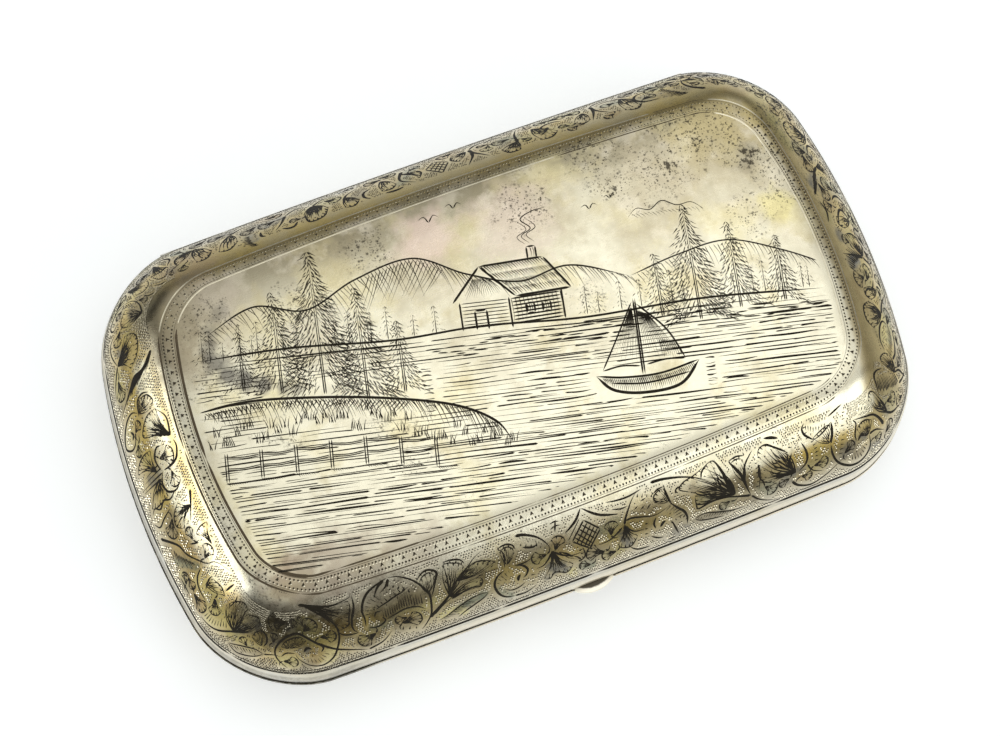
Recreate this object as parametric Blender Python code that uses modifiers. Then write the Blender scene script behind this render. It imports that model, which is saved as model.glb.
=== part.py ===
"""Silver cigarette case: a cushion-shaped lid and a shallower base, joined by a long integral hinge.

Each half is a raised sheet cover soldered to a drawn rim frame. The base carries a bezel that
the lid closes over, a sprung thumb piece with its catch nose, and five of the nine hinge
knuckles. Each half holds an elastic band between two wire staples.

Units are metres. X runs along the case, the hinge is at +Y, the thumb piece at -Y, +Z is up,
and the underside lies on Z = 0.
"""

import math

import bmesh
import bpy
from mathutils import Matrix, Vector

# Outline that both halves share, seen from above
CASE_LENGTH = 0.1100
CASE_WIDTH = 0.0657
CORNER_RADIUS = 0.0135
END_BOW = 0.0050
SIDE_BOW = 0.0007

# Heights above and below the seam, and the form of the shoulders
LID_HEIGHT = 0.0145
LID_CROWN = 0.0015
BASE_HEIGHT = 0.0100
RIM_UPRIGHT = 0.0010
SHOULDER_WIDTH = 0.0108
SHOULDER_POWER = 1.30

# Sheet, frames and bezel
WALL = 0.0009
FRAME_THICKNESS = 0.0011
LID_FRAME_HEIGHT = 0.0024
BASE_FRAME_HEIGHT = 0.0022
BEZEL_THICKNESS = 0.0006
BEZEL_RISE = 0.0014
BEZEL_SEAT = 0.0009
FIT_GAP = 0.0003

# Integral hinge; its end is the distance from the end of the case to the last knuckle
HINGE_END = 0.0150
HINGE_SETBACK = 0.0012
KNUCKLE_COUNT = 9
KNUCKLE_RADIUS = 0.00115
KNUCKLE_BORE = 0.00080
PIN_RADIUS = 0.00050
BEARER_THICKNESS = 0.0016
LID_OPENING = math.radians(110)
STOP_CLEARANCE = math.radians(2)
BEZEL_END_GAP = 0.0030

# Catch: thumb piece, leaf spring, nose, strike and rivets
THUMB_LENGTH = 0.0058
THUMB_HEIGHT = 0.0009
THUMB_DROP = 0.0008
THUMB_PROJECTION = 0.0010
THUMB_LEG_WIDTH = 0.0007
THUMB_HEAD_DEPTH = 0.00045
SPRING_THICKNESS = 0.0005
SPRING_HEIGHT = 0.0022
SPRING_PIVOT_X = 0.0190
SPRING_TAIL = 0.0062
SPRING_OVERHANG = 0.0044
NOSE_WIDTH = 0.0024
NOSE_HEIGHT = 0.0004
NOSE_REACH = 0.0005
STRIKE_BAR = 0.0004
STRIKE_RISE = 0.0021
RIVET_RADIUS = 0.00045
RIVET_HEAD_RADIUS = 0.0008
RIVET_HEAD_HEIGHT = 0.0005
RIVET_PITCH = 0.0026

# Elastic bands and their staples
BAND_WIDTH = 0.0100
BAND_THICKNESS = 0.0008
STAPLE_WIRE = 0.0004
STAPLE_INSET = 0.0030
STAPLE_STANDOFF = 0.0021

# Facets
CORNER_STEPS = 7
LONG_STEPS = 6
END_STEPS = 4
SHOULDER_STEPS = 6
ROUND_STEPS = 16
CROWN_INSETS = (1.5, 2.3)

# Values that follow from the sizes above
HALF_LENGTH = CASE_LENGTH / 2
HALF_WIDTH = CASE_WIDTH / 2
SEAM_Z = BASE_HEIGHT
HINGE_LENGTH = CASE_LENGTH - 2 * HINGE_END
HINGE_Y = HALF_WIDTH - HINGE_SETBACK
CHANNEL_RADIUS = KNUCKLE_RADIUS + FIT_GAP
KNUCKLE_LENGTH = (HINGE_LENGTH - FIT_GAP * (KNUCKLE_COUNT - 1)) / KNUCKLE_COUNT
BEZEL_INSET = FRAME_THICKNESS + FIT_GAP
SPRING_BOW = SIDE_BOW * ((SPRING_PIVOT_X + SPRING_TAIL) / HALF_LENGTH) ** 2
SPRING_INSET = BEZEL_INSET + BEZEL_THICKNESS + FIT_GAP + SPRING_BOW
THUMB_Z = SEAM_Z - THUMB_DROP

SILVER = ("case_silver", (0.80, 0.77, 0.68, 1), 0.95, 0.32)
GILT_SILVER = ("gilt_silver", (0.83, 0.76, 0.55, 1), 0.95, 0.30)
STEEL = ("spring_steel", (0.42, 0.41, 0.40, 1), 0.95, 0.38)
ELASTIC = ("elastic_web", (0.30, 0.22, 0.13, 1), 0.0, 0.85)


def clear_scene():
    for obj in list(bpy.data.objects):
        bpy.data.objects.remove(obj, do_unlink=True)


def collection(name):
    made = bpy.data.collections.new(name)
    bpy.context.scene.collection.children.link(made)
    return made


def material(finish, owner):
    """A Principled material of this finish that belongs to one piece"""
    kind, colour, metallic, roughness = finish
    made = bpy.data.materials.new(f"{owner}_{kind}")
    made.use_nodes = True
    shader = made.node_tree.nodes["Principled BSDF"]
    shader.inputs["Base Color"].default_value = colour
    shader.inputs["Metallic"].default_value = metallic
    shader.inputs["Roughness"].default_value = roughness
    made.diffuse_color = colour
    return made


def add(name, data, finish, parent=None, location=(0, 0, 0), rotation=(0, 0, 0)):
    """Place mesh or curve data as a named piece, given in the parent's frame"""
    piece = bpy.data.objects.new(name, data)
    PARTS.objects.link(piece)
    piece.parent = parent
    piece.location = location
    piece.rotation_euler = rotation
    data.materials.clear()
    data.materials.append(material(finish, name))
    return piece


def add_cutter(name, mesh, location=(0, 0, 0), rotation=(0, 0, 0)):
    cutter = bpy.data.objects.new(name, mesh)
    CUTTERS.objects.link(cutter)
    cutter.location = location
    cutter.rotation_euler = rotation
    cutter.hide_render = True
    cutter.display_type = "WIRE"
    return cutter


def cut(piece, cutter):
    boolean = piece.modifiers.new(cutter.name, "BOOLEAN")
    boolean.operation = "DIFFERENCE"
    boolean.object = cutter
    boolean.solver = "EXACT"


def smooth(mesh, angle=35):
    mesh.shade_smooth()
    mesh.set_sharp_from_angle(angle=math.radians(angle))


def mesh_from(name, build):
    """A mesh filled by build(bm), with its faces turned outwards"""
    bm = bmesh.new()
    build(bm)
    bmesh.ops.recalc_face_normals(bm, faces=bm.faces)
    mesh = bpy.data.meshes.new(name)
    bm.to_mesh(mesh)
    bm.free()
    return mesh


def box_mesh(name, low, high):
    low, high = Vector(low), Vector(high)

    def build(bm):
        size = high - low
        place = Matrix.Translation((low + high) / 2) @ Matrix.Diagonal((*size, 1))
        bmesh.ops.create_cube(bm, size=1, matrix=place)

    return mesh_from(name, build)


def cylinder_mesh(name, radius, length):
    """A solid cylinder along its own Z, centred on its origin"""

    def build(bm):
        bmesh.ops.create_cone(
            bm, cap_ends=True, segments=ROUND_STEPS, radius1=radius, radius2=radius, depth=length
        )

    return mesh_from(name, build)


def outline(inset):
    """Points of the rounded, bowed outline at this distance inside the widest line"""
    radius = max(CORNER_RADIUS - inset, CORNER_RADIUS / 8)
    flat_x = HALF_LENGTH - inset - radius
    flat_y = HALF_WIDTH - inset - radius
    points = []
    corners = ((1, 1, LONG_STEPS), (-1, 1, END_STEPS), (-1, -1, LONG_STEPS), (1, -1, END_STEPS))
    for turn, (side_x, side_y, steps_after) in enumerate(corners):
        for step in range(CORNER_STEPS + 1):
            angle = (turn + step / CORNER_STEPS) * math.pi / 2
            x = side_x * flat_x + radius * math.cos(angle)
            y = side_y * flat_y + radius * math.sin(angle)
            points.append((x, y))
        along_x = turn % 2 == 0
        for step in range(1, steps_after):
            share = 1 - 2 * step / steps_after
            if along_x:
                points.append((side_x * flat_x * share, side_y * (flat_y + radius)))
            else:
                points.append((side_x * (flat_x + radius), side_y * flat_y * share))
    return [bow(x, y) for x, y in points]


def bow(x, y):
    """Swell of the four sides between the corners"""
    return (
        x * (1 - END_BOW / HALF_LENGTH * (y / HALF_WIDTH) ** 2),
        y * (1 - SIDE_BOW / HALF_WIDTH * (x / HALF_LENGTH) ** 2),
    )


def back_y(x, inset):
    """Y of the outline's back side at this X and inset, on its facets"""
    loop = outline(inset)
    crossings = []
    for (x0, y0), (x1, y1) in zip(loop, loop[1:] + loop[:1]):
        if min(x0, x1) <= x <= max(x0, x1) and x0 != x1:
            crossings.append(y0 + (y1 - y0) * (x - x0) / (x1 - x0))
    return max(crossings)


def rise(inset, height, crown):
    """Height of a cover's outer surface above the seam plane at this inset"""
    across = min(inset / SHOULDER_WIDTH, 1)
    shoulder = (1 - (1 - across) ** SHOULDER_POWER) ** (1 / SHOULDER_POWER)
    inward = min(inset / HALF_WIDTH, 1)
    return RIM_UPRIGHT + (height - RIM_UPRIGHT) * shoulder + crown * (1 - (1 - inward) ** 2)


def inset_at(level, height, crown):
    """Inset at which a cover's outer surface reaches this height, by halving"""
    low, high = 0.0, SHOULDER_WIDTH
    for _ in range(40):
        middle = (low + high) / 2
        if rise(middle, height, crown) < level:
            low = middle
        else:
            high = middle
    return (low + high) / 2


def inner_wall(inset, height, crown):
    """Point on the inside of a cover behind this inset, and the unit normal into the case"""
    step = SHOULDER_WIDTH / 1000
    gain = rise(inset + step, height, crown) - rise(inset - step, height, crown)
    slope = gain / (2 * step)
    length = math.hypot(1, slope)
    normal = (slope / length, -1 / length)
    level = rise(inset, height, crown)
    return (inset + normal[0] * WALL, level + normal[1] * WALL), normal


def cover(name, height, crown, frame_height, up, parent):
    """A raised sheet cover: rings from the frame over the shoulder to the panel, then a wall"""
    start = inset_at(frame_height + FIT_GAP, height, crown)
    insets = []
    for step in range(SHOULDER_STEPS + 1):
        share = 1 - math.cos(step / SHOULDER_STEPS * math.pi / 2)
        insets.append(start + (SHOULDER_WIDTH - start) * share)
    if crown > 0:
        insets += [SHOULDER_WIDTH * factor for factor in CROWN_INSETS]

    def build(bm):
        rings = []
        for inset in insets:
            z = SEAM_Z + up * rise(inset, height, crown)
            rings.append([bm.verts.new((x, y, z)) for x, y in outline(inset)])
        for lower, upper in zip(rings, rings[1:]):
            bridge(bm, lower, upper)
        bm.faces.new(rings[-1])

    mesh = mesh_from(name, build)
    turn_faces(mesh, up)
    smooth(mesh)
    piece = add(name, mesh, SILVER, parent)
    sheet = piece.modifiers.new("Sheet", "SOLIDIFY")
    sheet.thickness = WALL
    sheet.offset = -1
    sheet.use_even_offset = True
    return piece


def turn_faces(mesh, up):
    """Make an open cover's faces look away from the inside of the case"""
    crown_face = mesh.polygons[len(mesh.polygons) - 1]
    if crown_face.normal.z * up < 0:
        mesh.flip_normals()


def bridge(bm, ring, other):
    count = len(ring)
    for i in range(count):
        j = (i + 1) % count
        bm.faces.new((ring[i], ring[j], other[j], other[i]))


def ring_mesh(name, section):
    """A closed ring around the case, from its cross-section as (inset, z) points"""

    def build(bm):
        rings = []
        for inset, z in section:
            rings.append([bm.verts.new((x, y, z)) for x, y in outline(inset)])
        for ring, other in zip(rings, rings[1:] + rings[:1]):
            bridge(bm, ring, other)

    mesh = mesh_from(name, build)
    smooth(mesh)
    return mesh


def frame(name, height, crown, frame_height, up, parent):
    """The plain rim band of one half, upright at the seam and drafted above it"""
    edge = SEAM_Z + up * FIT_GAP / 2
    top_inset = inset_at(frame_height, height, crown)
    middle = (RIM_UPRIGHT + frame_height) / 2
    section = [
        (0, edge),
        (0, SEAM_Z + up * RIM_UPRIGHT),
        (inset_at(middle, height, crown), SEAM_Z + up * middle),
        (top_inset, SEAM_Z + up * frame_height),
        (FRAME_THICKNESS, SEAM_Z + up * frame_height),
        (FRAME_THICKNESS, edge),
    ]
    return add(name, ring_mesh(name, section), SILVER, parent)


def make_channel_cutter():
    """Round channel that both rims and both bearers leave for the knuckles"""
    mesh = cylinder_mesh("knuckle_channel", CHANNEL_RADIUS, HINGE_LENGTH + 2 * FIT_GAP)
    return add_cutter(
        "knuckle_channel", mesh, (0, HINGE_Y, SEAM_Z), (0, math.pi / 2, 0)
    )


def make_stop_cutter():
    """Wedge behind the hinge axis: its faces are the bevels that meet when the lid is open"""
    half_angle = LID_OPENING / 2 + STOP_CLEARANCE
    reach = 2 * HINGE_SETBACK
    spread = reach * math.tan(half_angle)

    def build(bm):
        ends = []
        for x in (-HALF_LENGTH, HALF_LENGTH):
            corners = ((0, 0), (reach, spread), (reach, -spread))
            ends.append([bm.verts.new((x, HINGE_Y + y, SEAM_Z + z)) for y, z in corners])
        bridge(bm, *ends)
        for end in ends:
            bm.faces.new(end)

    return add_cutter("stop_bevels", mesh_from("stop_bevels", build))


def bearer(name, frame_height, up, parent):
    """Strip inside the back of a frame that the knuckles are soldered to"""
    back = back_y(HINGE_LENGTH / 2, FRAME_THICKNESS) - FIT_GAP
    near, far = SEAM_Z + up * FIT_GAP / 2, SEAM_Z + up * (frame_height - WALL / 2)
    low = (-HINGE_LENGTH / 2, back - BEARER_THICKNESS, min(near, far))
    high = (HINGE_LENGTH / 2, back, max(near, far))
    return add(name, box_mesh(name, low, high), SILVER, parent)


def profile_mesh(name, points):
    """Half-section of a turned piece as (radius, height) points, closed unless it ends on the axis"""
    mesh = bpy.data.meshes.new(name)
    bm = bmesh.new()
    verts = [bm.verts.new((radius, 0, height)) for radius, height in points]
    for vert, following in zip(verts, verts[1:]):
        bm.edges.new((vert, following))
    if points[0][0] > 0:
        bm.edges.new((verts[-1], verts[0]))
    bm.to_mesh(mesh)
    bm.free()
    return mesh


def turned(piece):
    screw = piece.modifiers.new("Turned", "SCREW")
    screw.steps = ROUND_STEPS
    screw.render_steps = ROUND_STEPS
    screw.use_merge_vertices = True
    screw.merge_threshold = 0.00001
    screw.use_smooth_shade = True


def knuckle_profile():
    half = KNUCKLE_LENGTH / 2
    return (
        (KNUCKLE_RADIUS, half),
        (KNUCKLE_RADIUS, -half),
        (KNUCKLE_BORE, -half),
        (KNUCKLE_BORE, half),
    )


def hinge(lid):
    """Nine knuckles in turn on base and lid, on one pin"""
    for number in range(KNUCKLE_COUNT):
        on_lid = number % 2 == 1
        name = f"{'lid' if on_lid else 'base'}_knuckle_{number // 2 + 1}"
        x = (number - (KNUCKLE_COUNT - 1) / 2) * (KNUCKLE_LENGTH + FIT_GAP)
        if on_lid:
            place, parent = (x, 0, 0), lid
        else:
            place, parent = (x, HINGE_Y, SEAM_Z), None
        tube = profile_mesh(name, knuckle_profile())
        turned(add(name, tube, SILVER, parent, place, (0, math.pi / 2, 0)))
    pin = cylinder_mesh("hinge_pin", PIN_RADIUS, HINGE_LENGTH)
    smooth(pin)
    add("hinge_pin", pin, STEEL, None, (0, HINGE_Y, SEAM_Z), (0, math.pi / 2, 0))


def bezels(gap):
    """Left and right flanges inside the base that the lid closes over, open at hinge and catch"""
    outer, inner = BEZEL_INSET, BEZEL_INSET + BEZEL_THICKNESS
    low, high = SEAM_Z - BEZEL_SEAT, SEAM_Z + BEZEL_RISE
    section = [(outer, low), (outer, high), (inner, high), (inner, low)]
    reach = HINGE_LENGTH / 2 + BEZEL_END_GAP
    behind = back_y(reach, inner) - FIT_GAP
    back = box_mesh("bezel_back", (-reach, behind, low - WALL), (reach, HALF_WIDTH, high + WALL))
    back = add_cutter("bezel_back", back)
    for name, side in (("base_bezel_left", -1), ("base_bezel_right", 1)):
        piece = add(name, ring_mesh(name, section), SILVER)
        start, end = sorted((0, -side * CASE_LENGTH))
        other = box_mesh(f"{name}_end", (start, -CASE_WIDTH, low - WALL), (end, CASE_WIDTH, high + WALL))
        for cutter in (back, gap, add_cutter(f"{name}_end", other)):
            cut(piece, cutter)
    for number, x in enumerate(rivet_places()):
        cut(piece, rivet_hole(f"bezel_hole_{number + 1}", x))


def catch_cutters():
    """Notch for the thumb piece in the rim, and the wider gap in the bezel behind it"""
    half = THUMB_LENGTH / 2 + FIT_GAP
    low = THUMB_Z - THUMB_HEIGHT / 2 - FIT_GAP
    top = SEAM_Z + BEZEL_RISE + WALL
    front = -HALF_WIDTH - FRAME_THICKNESS
    notch = box_mesh(
        "thumb_notch", (-half, front, low), (half, -HALF_WIDTH + BEZEL_INSET - FIT_GAP / 2, top)
    )
    gap = box_mesh(
        "bezel_gap",
        (-half, -HALF_WIDTH + BEZEL_INSET - FIT_GAP / 2, SEAM_Z - BEZEL_SEAT - WALL),
        (half, -HALF_WIDTH + SPRING_INSET, top),
    )
    return add_cutter("thumb_notch", notch), add_cutter("bezel_gap", gap)


def thumb_piece(catch):
    """Lens-shaped press piece with two legs that reach the spring on both sides of the strike"""
    half = THUMB_LENGTH / 2
    leg = half - THUMB_LEG_WIDTH
    back = SPRING_INSET - FIT_GAP
    radius = (half**2 + THUMB_PROJECTION**2) / (2 * THUMB_PROJECTION)
    sweep = math.asin(half / radius)
    points = []
    steps = 10
    for step in range(steps + 1):
        angle = sweep * (2 * step / steps - 1)
        points.append((radius * math.sin(angle), radius - THUMB_PROJECTION - radius * math.cos(angle)))
    points += [(half, back), (leg, back), (leg, THUMB_HEAD_DEPTH), (-leg, THUMB_HEAD_DEPTH)]
    points += [(-leg, back), (-half, back)]
    flat = flat_outline("thumb_piece", [points], THUMB_HEIGHT)
    place = Vector((0, -HALF_WIDTH, THUMB_Z)) - catch.location
    piece = add("thumb_piece", flat, SILVER, catch, place)
    weld = piece.modifiers.new("Weld", "WELD")
    weld.merge_threshold = 0.00001
    edges = piece.modifiers.new("Edges", "BEVEL")
    edges.width = THUMB_HEIGHT / 8
    edges.segments = 2
    edges.limit_method = "ANGLE"
    edges.angle_limit = math.radians(50)
    return piece


def flat_outline(name, loops, thickness):
    """A filled 2D curve of these closed loops, extruded to this thickness"""
    curve = bpy.data.curves.new(name, "CURVE")
    curve.dimensions = "2D"
    curve.fill_mode = "BOTH"
    curve.extrude = thickness / 2
    for loop in loops:
        spline = curve.splines.new("POLY")
        spline.points.add(len(loop) - 1)
        for point, (x, y) in zip(spline.points, loop):
            point.co = (x, y, 0, 1)
        spline.use_cyclic_u = True
    return curve


def rivet_places():
    """Centres of the two rivets along the spring's clamped tail"""
    first = SPRING_PIVOT_X + RIVET_HEAD_RADIUS + FIT_GAP
    return (first, first + RIVET_PITCH)


def catch_spring(catch):
    """Leaf along the inside of the bezel, free at the thumb piece and riveted at its tail"""
    y = -HALF_WIDTH + SPRING_INSET
    low = (-SPRING_OVERHANG, y, SEAM_Z - SPRING_HEIGHT / 2)
    high = (SPRING_PIVOT_X + SPRING_TAIL, y + SPRING_THICKNESS, SEAM_Z + SPRING_HEIGHT / 2)
    mesh = box_mesh("catch_spring", Vector(low) - catch.location, Vector(high) - catch.location)
    piece = add("catch_spring", mesh, STEEL, catch)
    for number, x in enumerate(rivet_places()):
        cut(piece, rivet_hole(f"spring_hole_{number + 1}", x))
    return piece


def rivet_hole(name, x):
    mesh = cylinder_mesh(name, RIVET_RADIUS + FIT_GAP, 4 * SPRING_INSET)
    return add_cutter(name, mesh, (x, -HALF_WIDTH + SPRING_INSET, SEAM_Z), (math.pi / 2, 0, 0))


def catch_rivets():
    """Headed rivets that hold the spring's tail to the bezel, turned about Y"""
    tail = BEZEL_INSET
    face = SPRING_INSET + SPRING_THICKNESS + FIT_GAP
    profile = (
        (0, face + RIVET_HEAD_HEIGHT),
        (RIVET_HEAD_RADIUS * 0.6, face + RIVET_HEAD_HEIGHT),
        (RIVET_HEAD_RADIUS, face + RIVET_HEAD_HEIGHT / 3),
        (RIVET_HEAD_RADIUS, face),
        (RIVET_RADIUS, face),
        (RIVET_RADIUS, tail),
        (0, tail),
    )

    for number, x in enumerate(rivet_places()):
        name = f"catch_rivet_{number + 1}"
        place = (x, -HALF_WIDTH, SEAM_Z)
        rivet = add(name, profile_mesh(name, profile), SILVER, None, place, (-math.pi / 2, 0, 0))
        turned(rivet)


def catch_nose(catch):
    """Hook on the spring whose sloped top the strike rides down over"""
    front, back = SPRING_INSET - FIT_GAP - NOSE_REACH, SPRING_INSET - FIT_GAP
    low, high = THUMB_Z - NOSE_HEIGHT / 2, THUMB_Z + NOSE_HEIGHT / 2
    corners = ((front, low), (front, (low + high) / 2), (back, high), (back, low))

    def build(bm):
        ends = []
        for x in (-NOSE_WIDTH / 2, NOSE_WIDTH / 2):
            ring = [Vector((x, -HALF_WIDTH + y, z)) - catch.location for y, z in corners]
            ends.append([bm.verts.new(point) for point in ring])
        bridge(bm, *ends)
        for end in ends:
            bm.faces.new(end)

    return add("catch_nose", mesh_from("catch_nose", build), STEEL, catch)


def lid_strike(lid):
    """Tongue inside the lid's front, with the window that the nose catches in"""
    half = THUMB_LENGTH / 2 - THUMB_LEG_WIDTH - FIT_GAP
    window_half = NOSE_WIDTH / 2 + FIT_GAP
    window_low = THUMB_Z - NOSE_HEIGHT / 2 - FIT_GAP
    window_high = THUMB_Z + NOSE_HEIGHT / 2 + FIT_GAP
    y = -HALF_WIDTH + BEZEL_INSET
    low = (-half, y, window_low - STRIKE_BAR)
    high = (half, y + BEZEL_THICKNESS, SEAM_Z + STRIKE_RISE)
    mesh = box_mesh("lid_strike", Vector(low) - lid.location, Vector(high) - lid.location)
    piece = add("lid_strike", mesh, SILVER, lid)
    window = box_mesh(
        "strike_window",
        (-window_half, y - FIT_GAP, window_low),
        (window_half, y + BEZEL_THICKNESS + FIT_GAP, window_high),
    )
    cut(piece, add_cutter("strike_window", window))
    return piece


def band(half, height, crown, up, parent):
    """Elastic band across one half, with an eye at each end round a staple's bar"""
    (wall_inset, wall_level), normal = inner_wall(STAPLE_INSET, height, crown)
    bar_y = HALF_WIDTH - wall_inset - normal[0] * STAPLE_STANDOFF
    bar_z = SEAM_Z + up * (wall_level + normal[1] * STAPLE_STANDOFF)
    eye = STAPLE_WIRE + FIT_GAP
    rim = eye + BAND_THICKNESS
    origin = parent.location if parent else Vector()
    turn = math.asin(BAND_THICKNESS / 2 / rim)
    steps = 12
    loop = []
    for side in (1, -1):
        for step in range(steps + 1):
            angle = (math.pi - turn) * (1 - 2 * step / steps)
            loop.append((side * (bar_y + rim * math.cos(angle)), side * rim * -math.sin(angle)))
    holes = []
    for side in (1, -1):
        circle = [2 * math.pi * step / steps for step in range(steps)]
        holes.append([(side * bar_y + eye * math.cos(a), eye * math.sin(a)) for a in circle])
    strip = flat_outline(f"{half}_band", [loop] + holes, BAND_WIDTH)
    add(
        f"{half}_band",
        strip,
        ELASTIC,
        parent,
        Vector((0, 0, bar_z)) - origin,
        (math.pi / 2, 0, math.pi / 2),
    )
    staples(half, bar_y, bar_z, normal, up, parent, origin)


def staples(half, bar_y, bar_z, normal, up, parent, origin):
    """Two wire staples that end just off the inside of the cover"""
    leg = STAPLE_STANDOFF - FIT_GAP - STAPLE_WIRE / 2
    reach = BAND_WIDTH / 2 + STAPLE_WIRE + FIT_GAP
    across = Vector((reach, 0, 0))
    for place, side in (("back", 1), ("front", -1)):
        foot = Vector((0, side * (bar_y + normal[0] * leg), bar_z - up * normal[1] * leg))
        bar = Vector((0, side * bar_y, bar_z))
        name = f"{half}_band_staple_{place}"
        wire = bpy.data.curves.new(name, "CURVE")
        wire.dimensions = "3D"
        wire.bevel_depth = STAPLE_WIRE
        wire.bevel_resolution = 2
        wire.use_fill_caps = True
        points = [foot - across, bar - across, bar + across, foot + across]
        spline = wire.splines.new("POLY")
        spline.points.add(len(points) - 1)
        for point, where in zip(spline.points, points):
            point.co = (*(where - origin), 1)
        add(name, wire, GILT_SILVER, parent)


def pivot(name, location):
    """An empty on a joint's axis that the moving pieces hang on"""
    empty = bpy.data.objects.new(name, None)
    empty.location = location
    PARTS.objects.link(empty)
    return empty


def cover_at_origin(piece, origin):
    """Shift a piece's mesh so that its object can sit on its pivot"""
    piece.data.transform(Matrix.Translation(-origin))


def main():
    lid = pivot("lid_pivot", (0, HINGE_Y, SEAM_Z))
    spring_y = -HALF_WIDTH + SPRING_INSET + SPRING_THICKNESS / 2
    catch = pivot("catch_pivot", (SPRING_PIVOT_X, spring_y, SEAM_Z))
    channel, bevels = make_channel_cutter(), make_stop_cutter()
    notch, gap = catch_cutters()

    lid_pieces = [
        cover("lid_cover", LID_HEIGHT, LID_CROWN, LID_FRAME_HEIGHT, 1, lid),
        frame("lid_frame", LID_HEIGHT, LID_CROWN, LID_FRAME_HEIGHT, 1, lid),
        bearer("lid_hinge_bearer", LID_FRAME_HEIGHT, 1, lid),
    ]
    for piece in lid_pieces:
        cover_at_origin(piece, lid.location)
    base_pieces = [
        cover("base_cover", BASE_HEIGHT, 0, BASE_FRAME_HEIGHT, -1, None),
        frame("base_frame", BASE_HEIGHT, 0, BASE_FRAME_HEIGHT, -1, None),
        bearer("base_hinge_bearer", BASE_FRAME_HEIGHT, -1, None),
    ]
    for piece in (lid_pieces[1], base_pieces[1]):
        cut(piece, channel)
        cut(piece, bevels)
    for piece in (lid_pieces[2], base_pieces[2]):
        cut(piece, channel)
    cut(base_pieces[1], notch)

    bezels(gap)
    hinge(lid)
    thumb_piece(catch)
    catch_spring(catch)
    catch_nose(catch)
    catch_rivets()
    lid_strike(lid)
    band("lid", LID_HEIGHT, LID_CROWN, 1, lid)
    band("base", BASE_HEIGHT, 0, -1, None)


clear_scene()
PARTS = collection("cigarette_case")
CUTTERS = collection("cutters")
main()
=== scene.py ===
"""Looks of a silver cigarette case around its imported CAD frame.

Each half gets one smooth skin with a rounded rim and engraved scroll borders on its shoulders. The
lid also gets a milled frame band and an engraved landscape on its panel. Engraved lines and punch
marks are thin pieces let into the metal. The elastic bands become ribbed webs, folded and sewn.

Lengths are millimetres in the row frame: X along the case, the hinge at +Y, +Z up. A place on a
border is a pair q, v: q runs round the case from the middle of the near side towards +X, and v runs
up the shoulder from the foot of the border.
"""

import math
import random

import bmesh
import bpy
import numpy as np
from mathutils import Matrix, Vector
from mathutils.kdtree import KDTree

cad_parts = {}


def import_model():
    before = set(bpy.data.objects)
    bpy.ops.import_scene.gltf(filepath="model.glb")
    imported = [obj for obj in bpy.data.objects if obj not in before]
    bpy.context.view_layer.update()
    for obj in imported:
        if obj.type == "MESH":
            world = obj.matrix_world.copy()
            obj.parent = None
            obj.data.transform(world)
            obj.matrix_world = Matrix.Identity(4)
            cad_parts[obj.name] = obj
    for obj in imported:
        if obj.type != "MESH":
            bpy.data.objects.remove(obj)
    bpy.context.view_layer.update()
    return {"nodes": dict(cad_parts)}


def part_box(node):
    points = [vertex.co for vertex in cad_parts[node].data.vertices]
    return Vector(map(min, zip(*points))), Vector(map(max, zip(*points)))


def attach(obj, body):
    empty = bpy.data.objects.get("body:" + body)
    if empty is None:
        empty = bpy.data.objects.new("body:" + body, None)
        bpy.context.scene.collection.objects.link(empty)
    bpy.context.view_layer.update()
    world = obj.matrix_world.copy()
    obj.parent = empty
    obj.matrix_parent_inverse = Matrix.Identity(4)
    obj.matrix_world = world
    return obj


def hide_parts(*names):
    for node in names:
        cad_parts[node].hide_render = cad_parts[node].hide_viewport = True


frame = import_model()
MM = 0.001
rng = random.Random(20)

# The case, as in the part's source
HALF_LENGTH, HALF_WIDTH, CORNER_RADIUS = 55.0, 32.85, 13.5
END_BOW, SIDE_BOW = 5.0, 0.7
SEAM_Z = 10.0
LID_HEIGHT, LID_CROWN, BASE_HEIGHT = 14.5, 1.5, 10.0
RIM_UPRIGHT, SHOULDER_WIDTH, SHOULDER_POWER = 1.0, 10.8, 1.30
WALL, FRAME_THICKNESS, LID_FRAME_HEIGHT, BASE_FRAME_HEIGHT = 0.9, 1.1, 2.4, 2.2
FIT_GAP, HINGE_LENGTH, HINGE_SETBACK, KNUCKLE_RADIUS = 0.3, 80.0, 1.2, 1.15
HINGE_Y = HALF_WIDTH - HINGE_SETBACK
LID_OPENING, STOP_CLEARANCE = math.radians(110), math.radians(2)
THUMB_LENGTH, THUMB_HEIGHT, THUMB_DROP, BEZEL_INSET = 5.8, 0.9, 0.8, 1.4

# Where the border starts above the plain rim, how soft the panel's edge is, how the crown fades out
LID_BORDER_LEVEL, BASE_BORDER_LEVEL = 2.55, 2.3
PANEL_EDGE, EDGE_SOFTNESS, SOFT_FROM, SOFT_OVER = 13.8, 1.1, 4, 4
CROWN_FADE = 4

# The engraved frame band on the panel's edge
BAND_HALF_LENGTH, BAND_HALF_WIDTH, BAND_RADIUS = 43.96, 22.24, 5.97
BAND_END_BOW, BAND_SIDE_BOW, BAND_WIDTH = 0.072, 0.062, 2.27

# Camera, fitted to the photograph about the middle of the seam plane
CAMERA_AZIMUTH, CAMERA_ELEVATION, CAMERA_ROLL = -30.72, 73.70, 9.662
CAMERA_DISTANCE, CAMERA_FOCUS_PX = 332.22, 2362.68
CAMERA_SHIFT_PX = (7.339, -0.073)
IMAGE_WIDTH, SENSOR_WIDTH = 1000, 36


# Surface of the two covers
def bow(x, y):
    return (
        x * (1 - END_BOW / HALF_LENGTH * (y / HALF_WIDTH) ** 2),
        y * (1 - SIDE_BOW / HALF_WIDTH * (x / HALF_LENGTH) ** 2),
    )


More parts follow.
